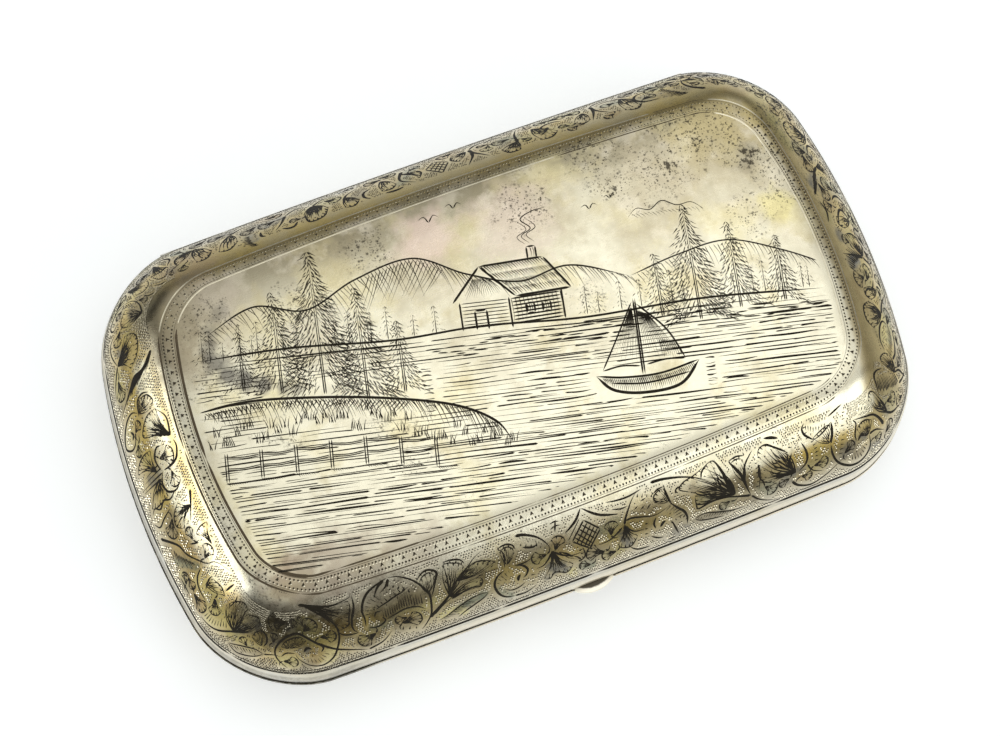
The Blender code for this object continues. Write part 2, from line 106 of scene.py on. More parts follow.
def unbow(x, y):
    flat_x, flat_y = x, y
    for _ in range(10):
        flat_x, flat_y = (
            x / (1 - END_BOW / HALF_LENGTH * (flat_y / HALF_WIDTH) ** 2),
            y / (1 - SIDE_BOW / HALF_WIDTH * (flat_x / HALF_LENGTH) ** 2),
        )
    return flat_x, flat_y


def inset_of(x, y):
    """Distance inside the widest outline"""
    x, y = unbow(x, y)
    out_x = np.abs(x) - (HALF_LENGTH - CORNER_RADIUS)
    out_y = np.abs(y) - (HALF_WIDTH - CORNER_RADIUS)
    corner = np.hypot(np.maximum(out_x, 0), np.maximum(out_y, 0))
    return CORNER_RADIUS - corner - np.minimum(np.maximum(out_x, out_y), 0)


def shoulder(inset, height):
    across = np.clip(inset / SHOULDER_WIDTH, 0, 1)
    curve = (1 - (1 - across) ** SHOULDER_POWER) ** (1 / SHOULDER_POWER)
    return RIM_UPRIGHT + (height - RIM_UPRIGHT) * curve


def dome(x, y, inset, crown):
    """Gentle swell of the panel, which fades out at the rim"""
    fade = 1 - (1 - np.clip(inset / CROWN_FADE, 0, 1)) ** 2
    return crown * fade * (1 - (x / HALF_LENGTH) ** 4) * (1 - (y / HALF_WIDTH) ** 2)


def perimeter_table():
    """Places round the unbowed outline at which sides and corners meet"""
    flat_x, flat_y = HALF_LENGTH - CORNER_RADIUS, HALF_WIDTH - CORNER_RADIUS
    arc = CORNER_RADIUS * math.pi / 2
    runs = [flat_x, arc, 2 * flat_y, arc, 2 * flat_x, arc, 2 * flat_y, arc, flat_x]
    return np.concatenate([[0], np.cumsum(runs)])


EDGES = perimeter_table()
PERIMETER = EDGES[-1]


def outline_at(q):
    """Point of the unbowed outline at place q, and its inward normal"""
    flat_x, flat_y = HALF_LENGTH - CORNER_RADIUS, HALF_WIDTH - CORNER_RADIUS
    q = np.mod(np.asarray(q, float), PERIMETER)
    run = np.clip(np.searchsorted(EDGES, q, side="right") - 1, 0, 8)
    along = q - EDGES[run]
    turn = (run + 1) // 2
    corner = run % 2 == 1
    angle = (turn - 1) * math.pi / 2 - math.pi / 2 + np.where(corner, along / CORNER_RADIUS, 0)
    angle = np.where(corner, angle, turn * math.pi / 2 - math.pi / 2)
    centres = np.array([(-flat_x, -flat_y), (flat_x, -flat_y), (flat_x, flat_y), (-flat_x, flat_y)])
    centre = centres[turn % 4]
    out_x, out_y = np.cos(angle), np.sin(angle)
    # starts and directions of the straight runs; the rows between them belong to corners
    starts = [
        (0, -HALF_WIDTH), (0, 0), (HALF_LENGTH, -flat_y), (0, 0), (flat_x, HALF_WIDTH),
        (0, 0), (-HALF_LENGTH, flat_y), (0, 0), (-flat_x, -HALF_WIDTH),
    ]
    steps = [(1, 0), (0, 0), (0, 1), (0, 0), (-1, 0), (0, 0), (0, -1), (0, 0), (1, 0)]
    start, step = np.array(starts, float)[run], np.array(steps, float)[run]
    x = np.where(corner, centre[..., 0] + CORNER_RADIUS * out_x, start[..., 0] + step[..., 0] * along)
    y = np.where(corner, centre[..., 1] + CORNER_RADIUS * out_y, start[..., 1] + step[..., 1] * along)
    return x, y, -out_x, -out_y


def arc_table(height):
    """Insets, their levels and the arc length up to each; the panel's edge is softened"""
    inset = np.linspace(0, PANEL_EDGE, 4001)
    level = shoulder(inset, height)
    reach = int(2.5 * EDGE_SOFTNESS / inset[1])
    kernel = np.exp(-0.5 * (np.arange(-reach, reach + 1) * inset[1] / EDGE_SOFTNESS) ** 2)
    soft = np.convolve(np.pad(level, reach, mode="edge"), kernel / kernel.sum(), mode="valid")
    share = np.clip((inset - SOFT_FROM) / SOFT_OVER, 0, 1)
    level = level + (soft - level) * share * share * (3 - 2 * share)
    steps = np.hypot(np.diff(inset), np.diff(level))
    return inset, level, np.concatenate([[0], np.cumsum(steps)])


LID_INSET, LID_LEVEL, LID_ARC = arc_table(LID_HEIGHT)
BORDER_FOOT = np.interp(LID_BORDER_LEVEL, LID_LEVEL, LID_ARC)


def border_point(place):
    """Lid surface at border places"""
    place = np.asarray(place, float)
    q, v = place[..., 0], place[..., 1]
    x, y, in_x, in_y = outline_at(q)
    inset = np.interp(BORDER_FOOT + v, LID_ARC, LID_INSET)
    level = np.interp(inset, LID_INSET, LID_LEVEL)
    x, y = bow(x + in_x * inset, y + in_y * inset)
    return np.stack([x, y, SEAM_Z + level + dome(x, y, inset, LID_CROWN)], -1)


BASE_INSET, BASE_LEVEL, BASE_ARC = arc_table(BASE_HEIGHT)
BASE_FOOT = np.interp(BASE_BORDER_LEVEL, BASE_LEVEL, BASE_ARC)
BASE_SHARE = (np.interp(SHOULDER_WIDTH, BASE_INSET, BASE_ARC) - BASE_FOOT) / (
    np.interp(SHOULDER_WIDTH, LID_INSET, LID_ARC) - BORDER_FOOT
)


def base_point(place):
    """Base surface at the same border places, squeezed to fit its lower shoulder"""
    place = np.asarray(place, float)
    x, y, in_x, in_y = outline_at(place[..., 0])
    inset = np.interp(BASE_FOOT + place[..., 1] * BASE_SHARE, BASE_ARC, BASE_INSET)
    x, y = bow(x + in_x * inset, y + in_y * inset)
    return np.stack([x, y, SEAM_Z - np.interp(inset, BASE_INSET, BASE_LEVEL)], -1)


def panel_point(place):
    """Lid surface at plan places x, y"""
    place = np.asarray(place, float)
    x, y = place[..., 0], place[..., 1]
    inset = inset_of(x, y)
    level = np.interp(inset, LID_INSET, LID_LEVEL)
    return np.stack([x, y, SEAM_Z + level + dome(x, y, inset, LID_CROWN)], -1)


def surface_normal(surface, place):
    """Outward unit normals of one of the surfaces above"""
    place = np.asarray(place, float)
    step = 0.05
    along = surface(place + (step, 0)) - surface(place - (step, 0))
    across = surface(place + (0, step)) - surface(place - (0, step))
    normal = np.cross(along, across) * (-1 if surface is base_point else 1)
    return normal / np.linalg.norm(normal, axis=-1, keepdims=True)


# Materials
def new_material(name):
    made = bpy.data.materials.new(name)
    made.use_nodes = True
    tree = made.node_tree
    return made, tree, tree.nodes["Principled BSDF"]


class Nodes:
    """Short ways to build a material's nodes"""

    def __init__(self, tree, scale=1000):
        self.tree = tree
        place = tree.nodes.new("ShaderNodeTexCoord")
        self.place = self.vector("MULTIPLY", place.outputs["Object"], (scale, scale, scale))

    def make(self, kind, inputs=(), **settings):
        node = self.tree.nodes.new(kind)
        for name, value in settings.items():
            setattr(node, name, value)
        for name, value in inputs:
            self.put(node.inputs[name], value)
        return node

    def put(self, socket, value):
        if isinstance(value, bpy.types.NodeSocket):
            self.tree.links.new(value, socket)
        else:
            socket.default_value = value

    def vector(self, operation, first, second):
        node = self.make("ShaderNodeVectorMath", operation=operation)
        self.put(node.inputs[0], first)
        self.put(node.inputs[1], second)
        return node.outputs["Value" if operation == "DISTANCE" else 0]

    def math(self, operation, first, second=0.0, clamp=False):
        node = self.make("ShaderNodeMath", operation=operation, use_clamp=clamp)
        self.put(node.inputs[0], first)
        self.put(node.inputs[1], second)
        return node.outputs[0]

    def noise(self, scale, detail=4.0, roughness=0.55, stretch=None, distortion=0.0):
        place = self.vector("MULTIPLY", self.place, stretch) if stretch else self.place
        inputs = [("Vector", place), ("Scale", scale), ("Detail", detail)]
        inputs += [("Roughness", roughness), ("Distortion", distortion)]
        return self.make("ShaderNodeTexNoise", inputs).outputs[0]

    def cells(self, scale, randomness=1.0):
        inputs = [("Vector", self.place), ("Scale", scale), ("Randomness", randomness)]
        return self.make("ShaderNodeTexVoronoi", inputs).outputs["Distance"]

    def ramp(self, value, low, high, to_low=0.0, to_high=1.0):
        inputs = [("Value", value), ("From Min", low), ("From Max", high)]
        inputs += [("To Min", to_low), ("To Max", to_high)]
        return self.make("ShaderNodeMapRange", inputs, clamp=True).outputs[0]

    def near(self, centre, reach, softness=0.6):
        """1 around a point, fading to 0 at this reach, with a ragged edge"""
        away = self.vector("DISTANCE", self.place, centre)
        ragged = self.math("ADD", away, self.ramp(self.noise(0.35), 0.3, 0.7, -reach / 3, reach / 3))
        return self.ramp(ragged, reach * (1 - softness), reach, 1.0, 0.0)

    def mix(self, amount, first, second, blend="MIX"):
        node = self.make("ShaderNodeMix", data_type="RGBA", blend_type=blend)
        for socket, value in zip((node.inputs[0], node.inputs[6], node.inputs[7]), (amount, first, second)):
            self.put(socket, value)
        return node.outputs[2]


def colour(red, green, blue):
    return (red, green, blue, 1.0)


PANEL_SILVER = colour(0.84, 0.81, 0.64)
PANEL_SHADE = colour(0.27, 0.24, 0.16)
VALLEY_GOLD = colour(0.74, 0.60, 0.30)
PANEL_TAUPE = colour(0.52, 0.46, 0.31)
PANEL_YELLOW = colour(0.82, 0.74, 0.42)
SHOULDER_TAUPE = colour(0.56, 0.465, 0.25)
SHOULDER_GILT = colour(0.58, 0.43, 0.12)
RIM_GREY = colour(0.74, 0.70, 0.60)
TARNISH = colour(0.40, 0.34, 0.22)
SOOT = colour(0.04, 0.034, 0.025)
SMOKE = colour(0.22, 0.21, 0.18)
BLOT = colour(0.09, 0.08, 0.05)
OLD_SILVER = colour(0.70, 0.68, 0.61)
OLD_GILT = colour(0.68, 0.58, 0.36)
PALE_PATCH = colour(0.90, 0.84, 0.68)
# The grey smear across the panel's left: place, reach, strength
SMEAR = [
    (-35.4, 16.9, 1.6, 0.4), (-37.4, 15.0, 1.7, 0.5), (-38.8, 12.6, 1.9, 0.6),
    (-38.6, 10.4, 1.9, 0.8), (-37.5, 8.3, 1.9, 0.9), (-35.5, 6.7, 1.8, 0.95),
    (-33.4, 5.2, 1.7, 0.9), (-31.4, 4.0, 1.5, 0.75), (-29.5, 3.0, 1.3, 0.6),
]
# Stains on the lid, each over those before it: centre, reach, colour, strength
STAINS = [
    ((39.5, 12.2, 25.4), 3.4, colour(0.42, 0.38, 0.27), 0.7),
    ((36.5, 17.2, 25.3), 5.5, colour(0.50, 0.45, 0.30), 0.65),
    ((27.4, 15.2, 25.6), 6.5, colour(0.56, 0.50, 0.36), 0.55),
    ((21.0, 15.4, 25.6), 3.4, colour(0.60, 0.55, 0.40), 0.5),
    ((44.5, 18.5, 23.5), 6.0, colour(0.60, 0.50, 0.22), 0.75),
    ((40.8, 4.5, 25.5), 3.5, colour(0.80, 0.72, 0.32), 0.6),
    ((-6.2, 17.1, 25.6), 5.5, colour(0.78, 0.62, 0.54), 0.6),
    ((6.0, 15.0, 25.6), 7.5, colour(0.74, 0.62, 0.53), 0.5),
    ((-37.5, 25.5, 21.5), 5.5, colour(0.52, 0.38, 0.18), 0.85),
    ((-50.2, -11.2, 19.0), 6.0, colour(0.60, 0.43, 0.16), 0.8),
    ((-39.0, -19.0, 25.2), 2.2, colour(0.40, 0.28, 0.22), 0.7),
    ((-36.2, 18.4, 25.3), 6.0, colour(0.58, 0.52, 0.42), 0.6),
    ((-42.0, 18.0, 25.0), 7.0, colour(0.30, 0.26, 0.17), 0.75),
    ((-42.0, 12.5, 25.2), 5.5, colour(0.36, 0.31, 0.21), 0.75),
    *(((x, y, 25.6), reach, SMOKE, strength) for x, y, reach, strength in SMEAR),
    ((40.3, 13.8, 25.4), 1.8, BLOT, 0.35),
    ((39.2, 11.2, 25.5), 1.5, BLOT, 0.3),
    ((-38.5, -21.5, 25.0), 6.5, colour(0.34, 0.28, 0.20), 0.8),
    ((-31.0, -21.8, 25.0), 7.0, colour(0.40, 0.34, 0.26), 0.7),
    ((-22.0, -22.4, 25.0), 5.5, colour(0.50, 0.44, 0.34), 0.6),
    ((37.0, 20.0, 25.0), 8.0, colour(0.50, 0.42, 0.21), 0.65),
]
# Where dark pits crowd, and where they run together: centre, reach
SPECKLED = [
    ((39.5, 12.2, 25.4), 3.6), ((36.5, 17.4, 25.3), 6.5), ((27.4, 15.5, 25.6), 7.0),
    ((21.0, 15.4, 25.6), 4.0), ((43.0, 9.0, 25.2), 6.5), ((40.0, 12.6, 25.4), 3.0),
    ((33.0, 18.5, 25.3), 7.5), ((20.0, 19.5, 25.3), 6.0), ((-26.0, 14.0, 25.5), 5.0),
    ((37.0, 5.0, 25.6), 5.0), ((-37.5, 17.5, 25.2), 5.0), ((-40.0, 9.0, 25.2), 3.5),
    ((46.5, 16.5, 22.7), 6.0), ((8.0, 16.5, 25.6), 6.0), ((-14.0, 18.5, 25.5), 5.0),
]
BLOTS = [
    ((40.6, 14.4, 25.4), 1.7), ((40.1, 12.9, 25.4), 1.6), ((39.4, 11.3, 25.5), 1.4),
    ((34.0, 17.6, 25.4), 1.5), ((29.0, 15.4, 25.6), 1.4),
]


def cover_colour(n, place, patch):
    """Pale panel that darkens towards the hinge, gilt shoulders, grey rims, and the lid's stains"""
    upper = n.math("ADD", n.math("MULTIPLY", place["Y"], 0.028), n.math("MULTIPLY", place["X"], 0.004))
    upper = n.ramp(n.math("ADD", upper, n.ramp(patch, 0.3, 0.7, -0.45, 0.45)), -0.15, 0.75)
    shade = n.mix(upper, PANEL_SILVER, PANEL_TAUPE)
    shade = n.mix(n.ramp(place["Y"], 15, 20, 0.0, 0.75), shade, PANEL_SHADE)
    pale = n.math("MULTIPLY", n.ramp(n.noise(0.2, 5, 0.62), 0.50, 0.62, 0.0, 0.55), upper)
    shade = n.mix(pale, shade, PALE_PATCH)
    yellow = n.math("MULTIPLY", n.ramp(n.noise(0.11, 4, 0.6), 0.5, 0.68), 0.6)
    shade = n.mix(yellow, shade, PANEL_YELLOW)

    # shoulders: gilding in patches and at both ends, and the plain rim below them
    height = n.math("ABSOLUTE", n.math("SUBTRACT", place["Z"], SEAM_Z))
    gilded_ends = n.math("MULTIPLY", n.ramp(n.math("ABSOLUTE", place["X"]), 34, 50), 0.85)
    gilded = n.math("MAXIMUM", n.ramp(n.noise(0.10, 4, 0.6), 0.42, 0.62), gilded_ends)
    flank = n.mix(gilded, SHOULDER_TAUPE, SHOULDER_GILT)
    flank = n.mix(n.ramp(height, 2.4, 8.5, 1.0, 0.0), flank, RIM_GREY)

    # where the shoulders take over from the panel, along its bowed sides
    bowed_x = n.math("ADD", place["X"], n.math("MULTIPLY", n.math("POWER", place["Y"], 2.0), 0.0055))
    bowed_y = n.math("ADD", place["Y"], n.math("MULTIPLY", n.math("POWER", place["X"], 2.0), 0.0007))
    right_end = n.ramp(bowed_x, 44.6, 46.4)
    left_end = n.ramp(place["X"], -47.2, -45.2, 1.0, 0.0)
    sides = n.math("MAXIMUM", right_end, n.math("MAXIMUM", left_end, n.ramp(bowed_y, 22.6, 24.4)))
    low = n.ramp(height, 9.6, 13.4, 1.0, 0.0)
    shade = n.mix(n.math("MAXIMUM", low, n.math("MULTIPLY", sides, 0.9)), shade, flank)
    above = n.ramp(n.math("SUBTRACT", place["Z"], SEAM_Z), 10.0, 12.8, 0.0, 0.8)
    shade = n.mix(n.math("MULTIPLY", right_end, above), shade, VALLEY_GOLD)
    for centre, reach, tint, strength in STAINS:
        shade = n.mix(n.math("MULTIPLY", n.near(centre, reach), strength), shade, tint)
    return shade


def speckled(n, shade, amount, zones):
    """Dark pits and crumbs of corrosion over a shade, crowded in the zones"""
    spots = n.ramp(n.noise(0.10, 4), 0.55, 0.70, 0.0, 0.55)
    grit = n.noise(1.5, 4, 0.7)
    if zones:
        for centre, reach in SPECKLED:
            spots = n.math("MAXIMUM", spots, n.near(centre, reach, 0.9))
        for centre, reach in BLOTS:
            grit = n.math("ADD", grit, n.math("MULTIPLY", n.near(centre, reach, 0.9), 0.13))
    large_pits = n.math("MULTIPLY", n.ramp(n.cells(0.95), 0.10, 0.24, 1.0, 0.0), 0.9)
    dark = n.math("MAXIMUM", n.ramp(n.cells(1.9), 0.12, 0.24, 1.0, 0.0), large_pits)
    for crumbs in (
        n.ramp(n.noise(2.6, 3, 0.7), 0.60, 0.68),
        n.ramp(grit, 0.585, 0.65),
        n.ramp(n.noise(0.75, 6, 0.78), 0.588, 0.628),
    ):
        dark = n.math("MAXIMUM", dark, crumbs)
    dark = n.math("MULTIPLY", dark, n.ramp(spots, 0.2, 0.6))
    return n.mix(n.math("MULTIPLY", dark, amount * 0.9, True), shade, SOOT)


def silver_material(
    name, gilt=0.5, least_gilt=0.1, tarnish=0.5, speckle=1.0, roughness=0.25, zones=True, painted=True
):
    """Worn silver: gilding left in patches, brown tarnish, the painted tints (among them painted highlights on
    the shoulders and painted reflection on the rim), pits and fine scratches
    """
    made, tree, shader = new_material(name)
    n = Nodes(tree)
    place = n.make("ShaderNodeSeparateXYZ", [("Vector", n.place)]).outputs
    patch = n.noise(0.085, 4, 0.62)
    if zones:
        shade = cover_colour(n, place, patch)
    else:
        shade = n.mix(n.ramp(patch, 0.40, 0.64, least_gilt, gilt), OLD_SILVER, OLD_GILT)
    browning = n.math("MULTIPLY", n.ramp(n.noise(0.22, 6, 0.68), 0.52, 0.74), tarnish)
    shade = n.mix(browning, shade, TARNISH)
    if painted:
        # the tint attribute holds leaf tints, painted highlights on the shoulders, painted reflection on the rim
        # and painted shade at the base's seam
        tint = n.make("ShaderNodeAttribute", attribute_name="tint").outputs
        broken = n.ramp(n.noise(1.3, 4, 0.6, distortion=0.6), 0.3, 0.6, 0.45, 1.0)
        shade = n.mix(n.math("MULTIPLY", tint["Alpha"], broken), shade, tint["Color"])
    if speckle:
        shade = speckled(n, shade, speckle, zones)
    n.put(shader.inputs["Base Color"], shade)
    shader.inputs["Metallic"].default_value = 1.0
    wear = n.ramp(n.noise(0.5, 6, 0.7), 0.3, 0.7, roughness - 0.06, roughness + 0.10)
    n.put(shader.inputs["Roughness"], wear)
    scratches = n.noise(1.0, 2, 0.5, stretch=(0.25, 9.0, 1.0), distortion=1.0)
    grain = n.math("ADD", n.math("MULTIPLY", scratches, 0.6), n.noise(3.0, 3, 0.6))
    dents = n.math("MULTIPLY", n.noise(0.16, 2, 0.5), 7.0)
    grain = n.math("ADD", grain, dents)
    bump = n.make("ShaderNodeBump", [("Height", grain), ("Strength", 0.35), ("Distance", 0.00003)])
    n.put(shader.inputs["Normal"], bump.outputs[0])
    return made


def plain_material(name, base, metallic, roughness, specular=0.5):
    """One colour with a little mottling"""
    made, tree, shader = new_material(name)
    shader.inputs["Specular IOR Level"].default_value = specular
    n = Nodes(tree)
    dark = tuple(c * 0.7 for c in base[:3]) + (1.0,)
    n.put(shader.inputs["Base Color"], n.mix(n.ramp(n.noise(0.8, 5, 0.6), 0.3, 0.7), base, dark))
    shader.inputs["Metallic"].default_value = metallic
    n.put(shader.inputs["Roughness"], n.ramp(n.noise(2.0), 0.3, 0.7, roughness - 0.08, roughness + 0.08))
    return made


PLAIN_WORN = dict(tarnish=0.25, speckle=0.3, roughness=0.30, zones=False)
LID_SILVER = silver_material("engraved_silver")
RIM_SILVER = silver_material("rim_silver", 0.6, **PLAIN_WORN)
BARE_SILVER = silver_material("bare_silver", 0.6, painted=False, **PLAIN_WORN)
GILT_INSIDE = silver_material(
    "gilt_inside", 1.0, 0.6, tarnish=0.15, speckle=0.0, roughness=0.30, zones=False, painted=False
)
NIELLO = plain_material("niello", colour(0.022, 0.018, 0.010), 0.0, 0.6, 0.15)
GROUND = plain_material("punched_ground", colour(0.055, 0.045, 0.028), 0.0, 0.7, 0.1)
GROOVE = plain_material("scored_line", colour(0.11, 0.085, 0.05), 0.2, 0.6, 0.2)
# Dark lip at the seam: painted shade of the gap between the halves, with some dirt
SEAM_SHADE_AND_DIRT = plain_material("seam_shade_and_dirt", colour(0.04, 0.034, 0.022), 0.0, 0.8, 0.05)
BURR = plain_material("bright_cut", colour(0.97, 0.91, 0.70), 1.0, 0.24)
GILT_WIRE = plain_material("gilt_wire", colour(0.80, 0.62, 0.32), 1.0, 0.28)
STEEL = plain_material("spring_steel", colour(0.36, 0.35, 0.34), 1.0, 0.36)
# The thumb piece's painted light: how its bright edge bows, and the distances across it between which painted
# shade turns to a painted highlight
THUMB_BOW, THUMB_HIGHLIGHT_EDGE = 0.117, (33.15, 33.35)


def shaded_thumb_material():
    """Silver with painted light: dark as dirt and painted shade on top beside the case, and bright along its
    outer edge as wear and a painted highlight
    """
    made, tree, shader = new_material("thumb_silver_painted_light")
    n = Nodes(tree)
    place = n.make("ShaderNodeSeparateXYZ", [("Vector", n.place)]).outputs
    bulge = n.math("MULTIPLY", n.math("POWER", place["X"], 2.0), THUMB_BOW)
    edge = n.math("ADD", n.math("ABSOLUTE", place["Y"]), bulge)
    # painted shade on top, painted highlight at the outer edge
    worn = n.ramp(n.math("ADD", edge, n.ramp(n.noise(3.0), 0.3, 0.7, -0.05, 0.05)), *THUMB_HIGHLIGHT_EDGE)
    n.put(shader.inputs["Base Color"], n.mix(worn, colour(0.09, 0.075, 0.045), colour(0.95, 0.92, 0.80)))
    n.put(shader.inputs["Metallic"], worn)
    shader.inputs["Roughness"].default_value = 0.34
    return made


SHADED_THUMB_SILVER = shaded_thumb_material()


# Meshes
def to_object(name, points, faces, materials, indices=None, sharp=40):
    """A piece from points in millimetres"""
    mesh = bpy.data.meshes.new(name)
    mesh.from_pydata([tuple(p) for p in np.asarray(points) * MM], [], faces)
    for material in materials:
        mesh.materials.append(material)
    if indices is not None:
        mesh.polygons.foreach_set("material_index", np.asarray(indices, np.int32))
    mesh.shade_smooth()
    mesh.set_sharp_from_angle(angle=math.radians(sharp))
    made = bpy.data.objects.new(name, mesh)
    bpy.context.scene.collection.objects.link(made)
    return made


def ring_faces(count, rings):
    """Quads between successive closed rings of this many points"""
    step = np.arange(count)
    following = (step + 1) % count
    faces = []
    for ring in range(rings - 1):
        low, high = ring * count, (ring + 1) * count
        faces += np.stack([low + step, low + following, high + following, high + step], -1).tolist()
    return faces


AROUND = 720
SHOULDER_RINGS = 46
# Rings across the panel: the share of its outline at which each stretch ends, and their number
PANEL_EDGE_SHARE, PANEL_EDGE_RINGS = 0.86, 12
PANEL_CENTRE_SHARE, PANEL_RINGS = 0.04, 22
# Rounded lip of the rim: how far inside its outline and above its edge
LIP = [(0.42, 0.0), (0.11, 0.01), (0.03, 0.06), (0.0, 0.15)]
RIM_TOP, SOLDER_SEAT, LID_RIM_INSET = 3.2, 1.4, 0.22
# Materials of a shell, in the order of its slots; the seam's slot is painted shade of the gap, with some dirt
ENGRAVED, PLAIN, INSIDE, SEAM_SHADE = range(4)
FINISH = (LID_SILVER, RIM_SILVER, GILT_INSIDE, SEAM_SHADE_AND_DIRT)


def outer_rings(ring, rim_inset, height, crown, up):
    """Rings of a shell's outer face from the lip to the middle of the panel, and the material above each"""
    inset_table, level_table, arc = arc_table(height)
    rings = [ring(rim_inset + inward, FIT_GAP / 2 + rise) for inward, rise in LIP]
    # the lip's underside takes the dark seam material, painted shade in the gap
    kinds = [SEAM_SHADE, PLAIN, PLAIN]
    top_arc = np.interp(SHOULDER_WIDTH, inset_table, arc)
    for arc_length in np.linspace(0, top_arc, SHOULDER_RINGS):
        inset = np.interp(arc_length, arc, inset_table)
        level = np.interp(arc_length, arc, level_table)
        rings.append(ring(max(inset, rim_inset), level, inset))
        kinds.append(PLAIN if level < RIM_TOP else ENGRAVED)
    top = rings[-1]
    edge_shares = np.linspace(1, PANEL_EDGE_SHARE, PANEL_EDGE_RINGS)[1:]
    shares = np.concatenate([edge_shares, np.linspace(PANEL_EDGE_SHARE, PANEL_CENTRE_SHARE, PANEL_RINGS)[1:]])
    for share in shares:
        x, y = top[:, 0] * share, top[:, 1] * share
        inset = inset_of(x, y)
        z = np.interp(inset, inset_table, level_table) + dome(x, y, inset, crown)
        rings.append(np.stack([x, y, SEAM_Z + up * z], -1))
        kinds.append(ENGRAVED)
    return np.array(rings), kinds[: len(rings) - 1]


def inner_rings(ring, outer, frame_height, up):
    """Rings of the inner wall: up the frame, then a wall's thickness inside every second outer ring"""
    along = np.roll(outer, -1, 1) - np.roll(outer, 1, 1)
    normal = np.cross(along, np.gradient(outer, axis=0))
    normal /= np.linalg.norm(normal, axis=-1, keepdims=True) + 1e-12
    normal *= np.sign(normal[-1, 0, 2]) * up
    wall = outer - normal * WALL
    seat = SEAM_Z + up * (frame_height + SOLDER_SEAT)
    keep = [i for i in range(len(LIP), len(outer)) if outer[i][0][2] * up > seat * up]
    frame_wall = [ring(FRAME_THICKNESS, FIT_GAP / 2), ring(FRAME_THICKNESS, frame_height)]
    return frame_wall + [wall[i] for i in keep[::-2][::-1]]


def half_shell(name, height, crown, frame_height, up, rim_inset):
    """One half of the case: rim and cover in one skin, with its inner wall; up is -1 for the base"""
    q = np.arange(AROUND) / AROUND * PERIMETER
    base_x, base_y, in_x, in_y = outline_at(q)

    def ring(inset, level, fade=0):
        x, y = bow(base_x + in_x * inset, base_y + in_y * inset)
        z = np.full(AROUND, level) + dome(x, y, np.full(AROUND, fade), crown)
        return np.stack([x, y, SEAM_Z + up * z], -1)

    outer, kinds = outer_rings(ring, rim_inset, height, crown, up)
    inside = inner_rings(ring, outer, frame_height, up)
    rings = list(outer) + inside
    points = np.concatenate(rings)
    faces = ring_faces(AROUND, len(outer))
    indices = np.repeat(kinds, AROUND).tolist()
    start = len(outer) * AROUND
    inner_faces = [tuple(start + i for i in face[::-1]) for face in ring_faces(AROUND, len(inside))]
    faces += inner_faces
    indices += [INSIDE] * len(inner_faces)

    # the lip's edge joins the two walls, and a fan of triangles closes the middle of each
    step = np.arange(AROUND)
    following = (step + 1) % AROUND
    faces += np.stack([start + step, start + following, following, step], -1).tolist()
    indices += [PLAIN] * AROUND
    centres = []
    for last, sign, kind in ((len(outer) - 1, 1, ENGRAVED), (len(rings) - 1, -1, INSIDE)):
        hub = len(points) + len(centres)
        centres.append((0, 0, rings[last][:, 2].mean()))
        faces += [(i, j, hub)[::sign] for i, j in zip(last * AROUND + step, last * AROUND + following)]
        indices += [kind] * AROUND
    points = np.concatenate([points, centres])
    if up < 0:
        faces = [tuple(face)[::-1] for face in faces]
    return to_object(name, points, faces, FINISH, indices)


def cutter(name, build):
    """Solid that a build function draws, to be cut out of the shells"""
    mesh = bpy.data.meshes.new(name)
    bm = bmesh.new()
    build(bm)
    bmesh.ops.recalc_face_normals(bm, faces=bm.faces)
    bm.to_mesh(mesh)
    bm.free()
    made = bpy.data.objects.new(name, mesh)
    bpy.context.scene.collection.objects.link(made)
    return made


def prism(bm, corners, low, high, axis=0):
    """Solid between low and high along an axis, from its cross-section corners"""
    ends = []
    for place in (low, high):
        ring = []
        for a, b in corners:
            point = [a, b]
            point.insert(axis, place)
            ring.append(bm.verts.new([c * MM for c in point]))
        ends.append(ring)
    count = len(corners)
    for i in range(count):
        j = (i + 1) % count
        bm.faces.new((ends[0][i], ends[0][j], ends[1][j], ends[1][i]))
    for end in ends:
        bm.faces.new(end)


def carve(piece, cutters):
    """Cut shapes out of a piece and keep the result as its mesh"""
    for shape in cutters:
        boolean = piece.modifiers.new(shape.name, "BOOLEAN")
        boolean.operation = "DIFFERENCE"
        boolean.object = shape
        boolean.solver = "EXACT"
    bpy.context.view_layer.update()
    graph = bpy.context.evaluated_depsgraph_get()
    result = bpy.data.meshes.new_from_object(piece.evaluated_get(graph))
    piece.modifiers.clear()
    piece.data = result


def hinge_channel(bm):
    """Round channel that the knuckles turn in"""
    radius = KNUCKLE_RADIUS + FIT_GAP
    turns = [2 * math.pi * i / 48 for i in range(48)]
    corners = [(HINGE_Y + radius * math.cos(a), SEAM_Z + radius * math.sin(a)) for a in turns]
    prism(bm, corners, -HINGE_LENGTH / 2 - FIT_GAP, HINGE_LENGTH / 2 + FIT_GAP)


def stop_bevels(bm):
    """Wedge behind the hinge axis that lets the back edges turn as far as the stop"""
    reach = 2 * HINGE_SETBACK
    spread = reach * math.tan(LID_OPENING / 2 + STOP_CLEARANCE)
    corners = [(HINGE_Y, SEAM_Z), (HINGE_Y + reach, SEAM_Z + spread), (HINGE_Y + reach, SEAM_Z - spread)]
    prism(bm, corners, -HALF_LENGTH, HALF_LENGTH)


def thumb_notch(bm):
    """Notch in the base's rim for the thumb piece"""
    half = THUMB_LENGTH / 2 + FIT_GAP
    low = SEAM_Z - THUMB_DROP - THUMB_HEIGHT / 2 - FIT_GAP
    front, back = -HALF_WIDTH - 1, -HALF_WIDTH + BEZEL_INSET - FIT_GAP / 2
    prism(bm, [(front, low), (back, low), (back, SEAM_Z + 2), (front, SEAM_Z + 2)], -half, half)


